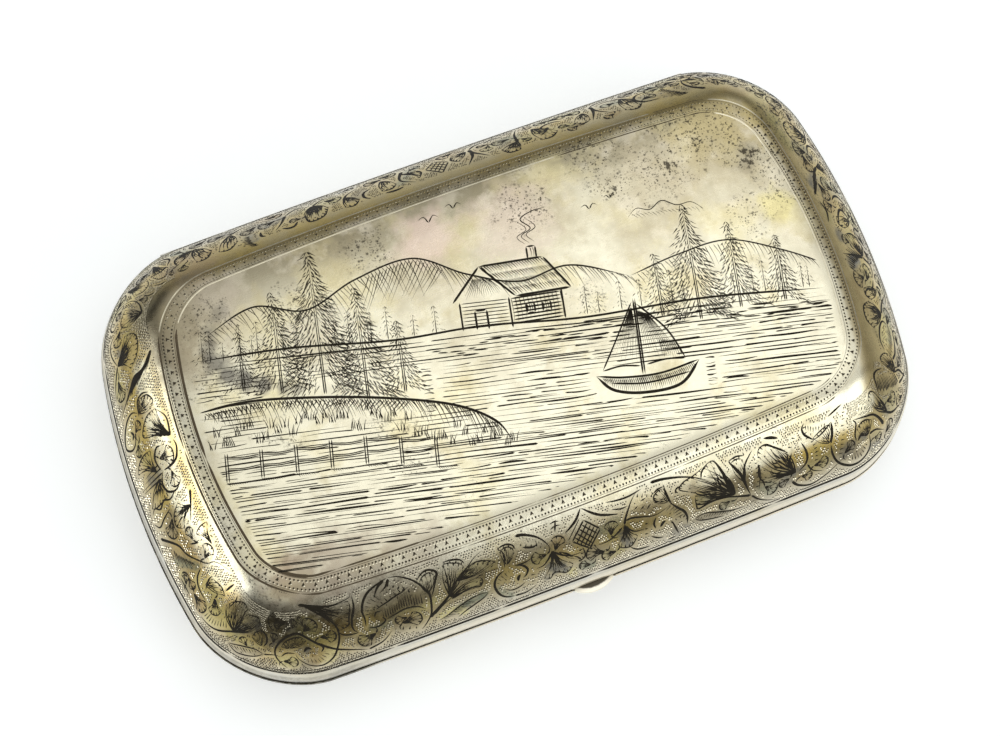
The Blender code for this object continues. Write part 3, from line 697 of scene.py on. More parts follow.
channel = cutter("hinge_channel", hinge_channel)
bevels = cutter("stop_bevels", stop_bevels)
notch = cutter("thumb_notch", thumb_notch)
lid_shell = half_shell("lid_shell", LID_HEIGHT, LID_CROWN, LID_FRAME_HEIGHT, 1, LID_RIM_INSET)
base_shell = half_shell("base_shell", BASE_HEIGHT, 0, BASE_FRAME_HEIGHT, -1, 0.0)
carve(lid_shell, (channel, bevels))
carve(base_shell, (channel, bevels, notch))
for shape in (channel, bevels, notch):
    bpy.data.objects.remove(shape)
for shell, body in ((lid_shell, "lid"), (base_shell, "base")):
    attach(shell, body)
    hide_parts(body + "_cover", body + "_frame")


def finish_of(node):
    """Finish of a CAD piece that stays"""
    if node in ("hinge_pin", "catch_spring", "catch_nose"):
        return STEEL
    if "staple" in node or "bezel" in node:
        return GILT_WIRE
    return SHADED_THUMB_SILVER if node == "thumb_piece" else BARE_SILVER


for node, piece in frame["nodes"].items():
    piece.data.materials.clear()
    piece.data.materials.append(finish_of(node))


# Soft strokes of tarnish and gilding on the leaf bodies, and c strokes of cream that are a painted highlight on
# the shoulders where a window's reflection falls: letter, reach, strength, border places
TINT_AND_HIGHLIGHT_COLOURS = {
    "o": (0.46, 0.40, 0.15), "y": (0.82, 0.73, 0.32), "g": (0.22, 0.25, 0.18), "t": (0.25, 0.21, 0.14),
    "b": (0.38, 0.26, 0.09), "s": (0.14, 0.15, 0.16), "d": (0.10, 0.075, 0.035), "c": (0.97, 0.92, 0.68),
}
# The two c lines at the top are painted highlights on the left and near-right shoulders
LEAF_TINTS_AND_HIGHLIGHTS = """
c 1.7 .95 -96,10.2 -90,10 -82,9.8 -74,9.8 -66,10.4
c 1.5 .95 19,10 26,10 34,10.4 42,10.8 48,11.2
d 2.8 .9 -51,8.6 -47,10.2 -42,9.6 -38,8.6
d 1.6 .5 -53,12 -45,12.8 -39,12.2
d 1.6 .6 -46,12.6 -40,12.6
d 1.5 .75 -31.5,7.6 -29,7 -27,8
d 1.2 .55 -30,12.6 -27.6,12.4
d 1.2 .45 -17,8 -12,9.6
d 1.2 .45 6,7 9,6.6 9.6,9
d 1.4 .75 23.6,7.2 26.4,6.4
d .9 .5 24,3.8 26,3.4
d 1.5 .5 38,6 41,5.4
d 1.8 .55 54,9.8 57,8.6
d 1.5 .4 55,6.4 53,5
d 1.2 .45 66,9.8 69,9
d 1.6 .45 125,9.6 130,9
d .8 .5 -101,7 -99,6.4
d 1.4 .4 -72,7 -69,6.4
b 1.3 .7 -39.8,8.6 -38.9,6.8
b 1.2 .6 -37.3,8.8 -36.4,7.2
y 1.2 .5 -41.5,8.5 -40.2,5.2 -41,3.4
o .7 .8 -35.2,4.6 -34.3,5.4
y .7 .7 -28.6,6.9 -26.6,6.2 -24.6,6.6 -23.3,7
o .6 .6 -26.3,5.6 -25.9,4.8
y .6 .8 -23.4,3.7 -21.6,4.1 -20.2,2.8
y .5 .7 -17.9,7.3 -17.2,7.2
g .6 .85 -33.4,6.2 -31.4,5.6 -29.2,6.2
t 1.5 .6 -30.4,9.2 -27.6,8.6 -25.2,8.4
t 1.1 .5 -31.6,11.2 -28.8,11.6
g .7 .85 -20.8,3.8 -18.6,4.4 -16.8,4.8
o .9 .55 -18.6,9.3 -16.4,9.7 -14,9.2
t 1.2 .55 -11.2,8.4 -9,8.6 -7.2,8.6
g .5 .7 -14.3,4.6 -13.7,3.4 -12.9,2.6
s .7 .8 -6.2,5.4 -5.6,4.2
s .6 .8 -4.8,5 -4.1,3.6
y .6 .7 -3.3,3 -3.1,2.2
s .5 .5 -7.6,4.4 -7,3.4
s .8 .9 5.3,6.2 5.8,4.2
g 1 .6 4.4,8.6 2.6,8.2
t 1.1 .55 10.8,8.6 8,8.4
t 1 .5 17,9.4 19.4,8.4 21.4,7
s .5 .7 21.4,7 22.8,5.9
b .9 .35 20,4.8 22.5,4.4 24.5,3.6
t .7 .7 17.2,3.8 19,3.3 20.8,3
s 1 .5 13.6,2.8 15,2.6
g .8 .5 17.8,7 18.8,6.6
t .8 .6 24.2,9 23.6,6.8
s .8 .75 31.5,5.3 33.4,5.2
t 1 .5 29,9 31,7
o 1.1 .4 38,5.6 36.6,7.6
o .6 .5 34.8,4.2 35,4
b 1 .8 -42.2,5.2 -42.8,3.8
s .8 .8 -44.4,6.1 -44,6.1
t 1.2 .7 -45.8,2.6 -44.6,3.2
y .9 .6 -47.3,4.2 -47,3.2
b 1.2 .4 -50.6,3 -51.6,2
t 1 .8 -54,4.2 -52.4,4.6
t 1 .6 -56,2.8 -54,2.2
o 1 .7 -57.2,5.2 -55,5.6 -53,6.2
b .9 .5 -55,6.8 -53.6,6.6
s .9 .8 -56.6,6.4 -55,8.4 -53.8,9.8
t .9 .6 -59.5,9.6 -58.4,8.6
b 1 .5 -61.5,9.8 -61,11.2
y 1.6 .5 -60.4,6.4 -61.6,4.6
y 1.4 .5 -65.6,8.4 -64.6,7.4 -66.6,6.2
g .8 .7 -63.6,7.4 -64.4,6.2
g .7 .9 -68.6,7.4 -69.8,5.4 -70.8,3.8
b 1 .6 -69.2,9 -70.4,8 -71.6,7
y .6 .6 -68.9,3.2 -68.5,3.3
t 1 .4 -71.8,4.4 -73.2,2.8
t .9 .45 -70,2 -65,3.2
s 1 .75 -82.6,7.6 -82.4,5.6
b 1 .7 -92.6,9 -91.6,8.2 -91,10
t .8 .6 -88.4,10.4 -87.6,9.6
t .8 .7 -96.2,7 -95,5 -94.2,3.4
s .7 .8 -100.4,6.6 -101.2,5.8
o 1.2 .5 -103.4,6 -104,8
t 1.2 .7 -108.6,8.8 -107.4,9.8
o 1.2 .5 -112,7 -110,6
s .6 .6 -113.2,4.4 -112.6,6
y 1 .4 -90.4,4.4 -89,3
o .8 .5 -85.2,5.6 -85.4,7
t 1 .7 42.6,5.4 43.4,4
s .7 .8 44.8,6.4 45,6.3
s .9 .7 46.8,3.2 47.6,2.8
o .8 .6 47.8,4.4 48,4.2
b .8 .5 49.8,5.6 50.4,7
s .7 .8 51.6,7 51.4,5.8
o 1.2 .6 53.6,5.2 55,4.6
t 1.3 .5 55.4,8.4 56.8,7
b 1.5 .5 59.4,8.4 58,10.4
s 1.1 .5 62,5.4 63.4,4.4
y 1.6 .6 65.6,8.4 66.8,6.4
g .7 .7 65.2,6 64.6,7
b 1.8 .5 70,10.4 73,10.8
s .9 .7 69,6 70.6,4.4
s 1 .9 76.2,10.6 77,8.6
b 1 .6 78.6,8 78.6,5
s .9 .7 80.4,10.8 80.8,10.6
o 1 .6 80.6,7.4 79.6,9
o .8 .6 83.4,11.6 83.8,11.4
b 1 .5 87.6,6.4 87.8,9
s .9 .8 88.8,11.6 90.2,10.2
o 1.2 .7 95.4,12 97,12.6
o 1 .8 99.6,12.4 100,11
t 1 .5 96,9.6 94,8
t 1.6 .4 103.6,7.6 101.4,6.8
b 1.4 .5 112.6,13 115,13.2
o 1 .6 122,9 124,6.8
t 1.1 .6 129,8.6 132,7.6
b 1 .5 136.8,7.4 139.6,8.8
o 1 .6 146,8.4 148.4,7.2
t 1 .6 152.4,9.6 153.6,7
b 1 .6 159.4,8.6 157,6.4
g .9 .6 168.4,6.8 170,9
t 1 .5 177.4,8.8 176,6.2
o 1.1 .6 183.2,8.6 184.8,6.6
s .8 .6 193.4,10.4 193.8,8.4
b 1 .5 197.2,8.2 201,9.2
t 1 .6 203.4,7.6 207,6
"""
# Tarnish and painted reflection on the plain rim, dark grey round the left where it reflects a shaded floor and
# pale on the near side where it reflects the bright floor: first and last place round the case, grey, strength
RIM_TARNISH_AND_REFLECTION = [(-125, -60, 0.27, 0.75), (-64, -34, 0.27, 0.7), (-34, 72, 0.80, 0.85)]
RIM_HEIGHT, SEAM_HEIGHT, RIM_FADE = 2.7, 0.4, 5
OUTLINE_STEPS = 900


# Strokes of the leaf tints and of the painted highlights
def tint_and_highlight_strokes():
    made = []
    for line in LEAF_TINTS_AND_HIGHLIGHTS.strip().splitlines():
        letter, reach, amount, *rest = line.split()
        places = [tuple(map(float, place.split(","))) for place in rest]
        made.append((letter, float(reach), float(amount), places))
    return made


def paint_leaves_and_highlights(where, lid, strokes, tint, strength):
    """Tint the shell's points near each stroke, the c strokes as painted highlight; both halves take the same
    strokes
    """
    for letter, reach, amount, places in strokes:
        path, _ = smooth_path(places, 0.5)
        centres = border_point(path)
        if not lid:
            centres[:, 2] = SEAM_Z - (centres[:, 2] - SEAM_Z) * BASE_HEIGHT / (LID_HEIGHT + LID_CROWN / 2)
        low, high = centres.min(0) - 2 * reach, centres.max(0) + 2 * reach
        some = np.flatnonzero(((where > low) & (where < high)).all(1))
        if not len(some):
            continue
        away = np.linalg.norm(where[some][:, None] - centres[None], axis=-1).min(1)
        weight = amount * np.clip(2.2 - 1.6 * away / reach, 0, 1)
        share = weight / np.maximum(weight + strength[some], 1e-6)
        tint[some] += (np.array(TINT_AND_HIGHLIGHT_COLOURS[letter]) - tint[some]) * share[:, None]
        strength[some] = np.maximum(strength[some], weight)


def paint_rim(where, lid, tint, strength):
    """Grey tarnish and painted reflection on the plain rim, and dirt and painted shade along the base's seam
    where the rim is painted dark
    """
    height = where[:, 2] - SEAM_Z
    round_case = np.linspace(-PERIMETER / 2, PERIMETER / 2, OUTLINE_STEPS)
    outline = border_point(np.stack([round_case, np.zeros(OUTLINE_STEPS)], -1))
    tree = KDTree(len(outline))
    for i, point in enumerate(outline):
        tree.insert((point[0], point[1], 0), i)
    tree.balance()
    for i in np.flatnonzero((np.abs(height) < RIM_HEIGHT) & (height * (1 if lid else -1) > 0)):
        nearest = tree.find((where[i, 0], where[i, 1], 0))[1]
        place = nearest / (OUTLINE_STEPS - 1) * PERIMETER - PERIMETER / 2
        for first, last, grey, amount in RIM_TARNISH_AND_REFLECTION:
            weight = amount * min(1, max(0, (place - first) / RIM_FADE), max(0, (last - place) / RIM_FADE))
            if weight <= strength[i]:
                continue
            tint[i], strength[i] = (grey, grey * 0.92, grey * 0.74), weight
            # dirt and painted shade: the base's edge under the seam goes dark where the rim is painted dark
            if grey < 0.5 and not lid and height[i] > -SEAM_HEIGHT:
                tint[i], strength[i] = (0.04, 0.04, 0.03), min(1, 2 * weight)


def paint(shell, strokes, lid):
    """Colour attribute of a shell's points: the tint, and its strength as alpha"""
    mesh = shell.data
    flat = np.empty(len(mesh.vertices) * 3, np.float32)
    mesh.vertices.foreach_get("co", flat)
    where = flat.reshape(-1, 3) / MM
    tint, strength = np.full((len(where), 3), 0.4), np.zeros(len(where))
    paint_leaves_and_highlights(where, lid, strokes, tint, strength)
    paint_rim(where, lid, tint, strength)
    layer = mesh.color_attributes.new("tint", "FLOAT_COLOR", "POINT")
    layer.data.foreach_set("color", np.concatenate([tint, strength[:, None]], 1).astype(np.float32).ravel())


# Engraving: thin tapered slivers of dark oxide let into the metal
LIFT, KEEL, PUNCH_DEPTH = 0.012, 0.01, 0.08


def smooth_path(points, step=0.35):
    """Places along a smooth curve through these points, and how far along it each lies, 0 to 1"""
    points = np.asarray(points, float)
    if len(points) == 2:
        count = max(2, int(np.hypot(*(points[1] - points[0])) / step) + 1)
        share = np.linspace(0, 1, count)
        return points[0] + (points[1] - points[0]) * share[:, None], share
    padded = np.concatenate([[2 * points[0] - points[1]], points, [2 * points[-1] - points[-2]]])
    path = []
    for a, b, c, d in zip(padded, padded[1:], padded[2:], padded[3:]):
        count = max(1, int(np.hypot(*(c - b)) / step) + 1)
        square, cube = 2 * a - 5 * b + 4 * c - d, 3 * b - a - 3 * c + d
        for t in np.arange(count) / count:
            path.append(0.5 * (2 * b + (c - a) * t + square * t**2 + cube * t**3))
    path = np.array(path + [points[-1]])
    run = np.concatenate([[0], np.cumsum(np.hypot(*np.diff(path, axis=0).T))])
    return path, run / max(run[-1], 1e-9)


# Width along a stroke, from its share of the way
PROFILES = {
    "both": lambda s: np.sin(np.pi * np.clip(s, 0, 1)) ** 0.6,
    "start": lambda s: (1 - s) ** 0.8,
    "even": lambda s: np.minimum(1, np.minimum(s, 1 - s) * 12),
    "end": lambda s: s**0.8,
}


def stroke(points, width=0.2, profile="both", step=0.35):
    """Places along a curve, and the engraved line's width at each"""
    path, share = smooth_path(points, step)
    return path, width * PROFILES[profile](share)


def let_in(name, surface, points, faces, material, body, sharp=30):
    """Piece that lies in a surface of the case and rides with its body"""
    if surface is base_point:
        faces = [face[::-1] for face in faces]
    made = to_object(name, points, faces, [material], sharp=sharp)
    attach(made, body)


def engrave(name, surface, strokes, material, body):
    """One piece of tapered strokes; each is a closed sliver with its keel in the metal"""
    strokes = [s for s in strokes if len(s[0]) > 2]
    places = np.concatenate([s[0] for s in strokes])
    widths = np.concatenate([s[1] for s in strokes])
    ahead = np.concatenate([np.gradient(s[0], axis=0) for s in strokes])
    length = np.hypot(*ahead.T)[:, None] + 1e-12
    side = np.stack([-ahead[:, 1], ahead[:, 0]], -1) / length * widths[:, None] / 2
    normal = surface_normal(surface, places)
    left = surface(places + side) + normal * LIFT
    right = surface(places - side) + normal * LIFT
    low = surface(places) - normal * np.clip(widths, 0.05, 0.3)[:, None] * 0.4 - normal * KEEL
    tip = surface(places) + normal * (LIFT * 0.2)
    sections = np.stack([left, low, right], 1)
    points, faces, start, offset = [], [], 0, 0
    for path, _ in strokes:
        end = start + len(path) - 1
        points += [tip[start][None], sections[start + 1 : end].reshape(-1, 3), tip[end][None]]
        first = offset + 1
        last = first + 3 * (len(path) - 2)
        for k in range(3):
            faces.append((offset, first + k, first + (k + 1) % 3))
            faces.append((last, last - 3 + (k + 1) % 3, last - 3 + k))
        for a in range(first, last - 3, 3):
            faces += [(a + k, a + 3 + k, a + 3 + (k + 1) % 3, a + (k + 1) % 3) for k in range(3)]
        start = end + 1
        offset = last + 1
    let_in(name, surface, np.concatenate(points), faces, material, body)


def polygon(size, turns):
    """Corners of a punch mark, from their angles"""
    return [(size * math.cos(turn), size * math.sin(turn)) for turn in turns]


def punch(name, surface, marks, material, body):
    """One piece of small flat-topped punch marks; a mark is its place and its corners' offsets"""
    places = np.array([m[0] for m in marks], float)
    normal = surface_normal(surface, places)
    points, faces, offset = [], [], 0
    low = surface(places) - normal * PUNCH_DEPTH
    for i, (place, corners) in enumerate(marks):
        top = surface(np.asarray(place) + np.asarray(corners, float)) + normal[i] * LIFT
        count = len(corners)
        points += [top, low[i][None]]
        faces.append(tuple(range(offset, offset + count)))
        faces += [(offset + (k + 1) % count, offset + k, offset + count) for k in range(count)]
        offset += count + 1
    let_in(name, surface, np.concatenate(points), faces, material, body)


# Corners of a bright ledge beside a punch mark: across, up the surface, above it
LEDGE = [(-0.085, 0.07, 0.01), (-0.085, -0.055, 0.058), (0.085, -0.055, 0.058), (0.085, 0.07, 0.01)]
LEDGE_FACES = [(0, 1, 2, 3), (1, 0, 4), (2, 1, 4), (3, 2, 4), (0, 3, 4)]
LEDGE_DEPTH = 0.06


def bright_cuts(name, surface, marks, below, body):
    """Small bright ledges that the punch threw up beside each mark; their tops catch the light from above"""
    places = np.array([m[0] for m in marks], float) + below
    size = np.array([[rng.uniform(0.75, 1.2), rng.uniform(0.6, 1.4)] for _ in marks])
    normal = surface_normal(surface, places)
    corners = []
    for across, up, above in LEDGE:
        place = places + np.stack([across * size[:, 0], up * size[:, 0]], -1)
        corners.append(surface(place) + normal * (above * size[:, 1:]))
    corners.append(surface(places) - normal * LEDGE_DEPTH)
    points = np.stack(corners, 1).reshape(-1, 3)
    faces = [tuple(i + k for k in face) for i in range(0, len(points), len(corners)) for face in LEDGE_FACES]
    let_in(name, surface, points, faces, BURR, body, sharp=10)


def parse(text):
    """Strokes from lines of: kind, width in hundredths of a millimetre, places; a bar parts two curves"""
    made = []
    for line in text.strip().splitlines():
        kind, width, rest = line.split(maxsplit=2)
        curves = [
            [tuple(map(float, place.split(","))) for place in curve.split()] for curve in rest.split("|")
        ]
        made.append((kind, float(width) / 100, curves))
    return made


def resample(points, count):
    """So many places at even steps along a smooth curve"""
    path, share = smooth_path(points, 0.1)
    want = np.linspace(0, 1, count)
    return np.stack([np.interp(want, share, path[:, 0]), np.interp(want, share, path[:, 1])], -1)


def run_length(places):
    return np.hypot(*np.diff(np.asarray(places, float), axis=0).T).sum()


# Shares of the way at which the lines of a fan start, so that its root isn't one dark spot
FAN_STARTS = (0.02, 0.34, 0.16, 0.44)
FAN_WIDTH, FAN_EDGE_TICK = 0.30, 0.26


def fan(start, end, width, pitch=0.30, reach=(0.55, 0.95), bend=0.08):
    """Hatching from a node, or from a curve, towards a curve: dark at the start, fading to tips"""
    count = max(3, int(run_length(end) / pitch))
    tips = resample(end, count)
    node = len(start) == 1
    roots = np.repeat([start[0]], count, 0) if node else resample(start, count)
    width = min(FAN_WIDTH, 0.12 + width * 0.40)
    made = []
    for i, (root, tip) in enumerate(zip(roots, tips)):
        run = tip - root
        length = max(np.hypot(*run), 0.1)
        out = rng.uniform(*reach)
        back = FAN_STARTS[i % 4] * rng.uniform(0.8, 1.2) if node else rng.uniform(0, 0.12)
        if node and i in (0, count - 1):
            back, out = 0.0, 0.98
        across = np.array([-run[1], run[0]]) * bend * (1 - 2 * i / max(count - 1, 1))
        middle = root + run * (back + out) / 2 + across
        path = [root + run * back, middle, root + run * out]
        made.append(stroke(path, width * rng.uniform(0.75, 1.15), "start"))
        if i % 5 == 2:
            made.append(stroke([root + run * 0.8, root + run * (0.8 + 0.4 / length)], 0.14, "both", 0.1))
    if node:
        made += ticks(end, FAN_EDGE_TICK, root=start[0])
    return made


def ticks(path, width, size=0.62, pitch=0.68, root=None):
    """Short cuts across a leaf's edge, inward where a root is given"""
    places = resample(path, max(2, int(run_length(path) / pitch) + 1))
    made = []
    for place, way in zip(places, np.gradient(places, axis=0)):
        side = np.array([-way[1], way[0]]) / max(np.hypot(*way), 1e-6)
        if root is not None:
            side = np.asarray(root) - place
            side = side / max(np.hypot(*side), 1e-6)
        reach = size * rng.uniform(0.7, 1.2)
        start = place if root is not None else place - side * reach / 2
        made.append(stroke([start, start + side * reach], width * rng.uniform(0.8, 1.2), "start", 0.12))
    return made


def drawn(text):
    """All the strokes of an ornament: l line, w tapered line, e even line, t ticks, f fan, h hatching"""
    made = []
    for kind, width, curves in parse(text):
        if kind == "l":
            made.append(stroke(curves[0], min(width * 1.15, 0.20 + width * 0.5)))
        elif kind == "w":
            made.append(stroke(curves[0], min(width * 1.1, 0.18 + width * 0.6), "start"))
        elif kind == "t":
            made += ticks(curves[0], width * 1.3)
        elif kind == "e":
            made.append(stroke(curves[0], width, "even"))
        elif kind == "f":
            made += fan(*curves, width)
            made.append(stroke(curves[1], 0.22))
        elif kind == "h":
            made += fan(*curves, width, pitch=0.36, bend=0.0)
    return made


NEAR_LEFT = """
l 26 -41.1,13.7 -39.2,11.6 -38.1,8.9 -38.2,6.8 -39.2,4.7 -40.5,3.1 -42.3,2.4 -44.2,2.9 -45.7,4.4 -46.1,5.6
l 52 -47.7,2.3 -49.3,4.4 -49.4,6.3 -48.1,8.1 -46.3,9.05 -44.4,9.2 -42.8,8.1 -41.3,6.5 -39.2,4.4 -35.2,2.3
w 34 -35.2,2.3 -32.8,2.9 -30.9,4.4
l 22 -48.6,4.7 -47.6,5.6 -46.1,5.6
l 55 -44.6,5.7 -43.7,6.4 -42.9,6.0
l 24 -41.3,6.5 -41,5.6 -41.6,5
f 20 -46.9,6.6 | -48.4,6.8 -47.4,7.9 -45.9,8.5 -44.4,8.6 -43.3,7.8
h 18 -44.4,3.4 -42.3,3 -40.6,4 | -44.2,4.8 -42.6,4.9 -41.6,4.9
w 50 -41.4,13.7 -39.5,12.7 -37.8,12 -36.2,11.9 -34.6,12.2 -34.2,12.9
l 30 -34.2,12.4 -34.5,10.8 -34.9,9.9 -35.75,8.3 -36,6.9 -35.5,6.05
l 24 -35.5,6.05 -36.6,6.2 -37.6,6.6 -38.1,7.4
f 26 -40.8,13.2 | -37.8,7.6 -36.4,7.9 -35.9,9 -35.2,10.4 -34.9,11.6
w 40 -40.4,12.9 -39,10.6 -38.4,9
l 34 -28.7,13 -30.3,12.6 -32,11.9 -33.1,10.8 -33.8,9.4 -33.9,8 -34.2,6.6
l 30 -28.7,13 -27.3,12.6 -25.9,11.6 -25.05,10.5 -24.4,9.1 -24.1,8 -24.4,6.3 -24.8,4.9 -25.3,4.1 -26.2,3.1 -27,2.4
w 60 -29.3,12.9 -30.6,12 -31.6,10.6
w 46 -28.6,12.8 -29.4,11.8 -30.6,11.1
l 26 -31.6,7.4 -31.3,6.5 -32.55,5.9 -34.1,6.3
l 24 -32,8.8 -31.2,9.1 -30.05,9.4 -28.9,9.8 -27.55,10.1 -26.5,10.6
l 24 -31.2,6.6 -29.8,6.9 -28.1,7.25 -26.4,6.9 -25.3,5.9
h 20 -31.4,6.8 -29.5,7.1 -27.6,7.2 -25.6,6.8 | -31,9 -29,9.6 -27,10.2 -25.2,9.4
h 18 -33.7,8.6 -33.1,10.2 -31.6,11.4 | -32.4,8.4 -31.9,9.2 -30.6,9.6
l 18 -32.6,7.6 -32.1,8.4 -31.2,8.3
l 30 -25.2,10.9 -24.2,11.75 -23.1,12 -22.1,11.2 -22.7,9.9 -23.4,8.55 -23.9,7.7
f 24 -24.2,8.4 | -24.9,10.5 -24.1,11.3 -23,11.5 -22.5,10.8
w 60 -25.3,4.1 -23.7,5.2 -21.4,6.9 -19.8,8.8 -17.8,10.2 -16.4,11.3 -15.05,11.9
w 34 -21.4,6.9 -21,9.5 -20.75,12.4
l 26 -20.75,12.3 -19.8,12.2 -18.9,12 -18.25,11.6 -18,10.9
f 34 -21.5,6.7 | -20.9,11.9 -20.1,11.9 -19.4,11.6 -18.7,11.3 -18.2,10.6
f 26 -19.8,8.6 | -17.9,10.2 -16.2,10.55 -14.8,10.1 -13.7,9.5
f 30 -21.6,6.5 | -16.6,8.1 -16.3,7.2 -16.9,6.4 -18,6.7 -19.4,6.5
w 34 -21.4,6.05 -19.2,6.55 -17.55,6.75 -16.9,6.5
w 40 -24.6,4.4 -22.9,5.5 -21,6.4
l 22 -24.2,2.9 -22.6,3.4 -20.6,4.25 -18.9,4.8 -17.3,5 -16,4.8
l 22 -16,4.8 -17,4.1 -18.4,3.55 -20.05,2.9 -21.4,2.2
h 16 -23.6,3.1 -21.6,3.9 -19.6,4.6 | -21.8,2.5 -19.8,3.2 -17.8,3.9
l 40 -12.8,7.6 -14.2,6.9 -14.9,5.5 -14.6,3.8 -13.7,2.7 -12.4,2.3
w 34 -12.4,2.3 -10.6,2.2 -8.8,2.9
l 34 -11.2,7.7 -10.2,7.3 -9.6,6.3 -10.05,5.4 -10.6,5.1
l 60 -11.4,4.8 -11.2,5.5 -10.75,5.9
l 20 -13.6,4.2 -12.6,3.6 -11.4,3.7 -10.4,4.2
h 16 -14.6,6 -13.6,7 -12.4,7.5 | -13.9,5.4 -13.1,5.8 -12.2,6.2
l 20 -13,11.3 -12.4,10.6 -12.4,9.4 -12.8,7.9
l 20 -11.4,7.7 -9.8,7.6 -8.7,7.9
l 26 -13,11.3 -11.7,11.5 -10.75,11.05 -10.5,10.2
f 24 -12.3,8.3 | -12.7,10.8 -11.8,11.1 -11,10.7 -10.8,9.9
w 55 -10.05,12.2 -8.7,11.9 -7,10.8 -6,9.4 -5.55,8
h 20 -9.6,12 -8,11.2 -6.6,9.8 | -9.2,11.2 -8,10.4 -6.9,9.2
l 34 -9.5,10.2 -8.7,9.8 -7.9,9.6 -7.3,9.8
f 44 -5.55,7.9 | -7.55,3.4 -6.7,3.1 -5.9,3.9 -5.05,3.6 -4.2,3.1 -3.5,3.4 -2.9,4.2
w 36 -5.6,7.6 -6.4,6.6 -7.3,5.9 -8.5,5.8
w 36 -5.4,7.6 -4.2,6.5 -2.8,5.8 -1,5.8
l 22 -1,6.6 -0.9,4.9 -2,4.1
f 22 -4.6,7.2 | -2.6,5.6 -1.9,5 -1.5,4.4
l 24 -3.9,12.4 -4.4,10.6
l 18 -5,11.2 -4.2,11.5 -3.3,11.4
l 18 -4.9,12 -4.1,12.2 -3.4,12
t 20 -32.2,9 -31.4,9.4 -30,9.9 -28.6,10.3 -27.2,10.7
t 22 -29,11.9 -27.8,11 -26.6,10
t 20 -25,11.3 -23.9,11.9 -22.6,11.7
t 18 -20.6,12.2 -19.4,12 -18.3,11.2
t 20 -16.2,10.2 -15,9.8 -14.4,9
t 24 -16.3,8.2 -16.6,6.9
t 20 -12.8,11.2 -11.6,11.3 -10.7,10.6
t 20 -9.6,10.6 -8.4,10 -7.4,9.8
t 20 -9,5 -9.2,3.8
t 24 -1.3,6.2 -1.2,5 -1.8,4.3
t 20 -29.4,4 -27.6,3.2
t 20 -38.2,11.4 -37,10.4
"""

CARTOUCHE = """
l 40 0,12.75 -1,11.3 -2,10.5 -3.05,9.85
l 40 0,12.75 1.7,11.2 3.05,10.4 5.2,9.7
e 26 0,10.8 2.1,8.5
e 26 2.1,8.5 0,5.9
e 26 0,5.9 -2.3,8.1
e 26 -2.3,8.1 0,10.8
e 13 -0.5,11.3 -2.9,8.4
e 22 -0.46,10.24 1.58,7.85
e 22 -0.92,9.7 1.05,7.2
e 22 -1.4,9.15 0.55,6.6
e 22 -1.85,8.6 0.2,6.15
e 22 0.45,10.25 -1.75,7.5
e 22 0.9,9.75 -1.25,7.0
e 22 1.35,9.3 -0.75,6.5
e 22 1.75,8.85 -0.35,6.15
"""

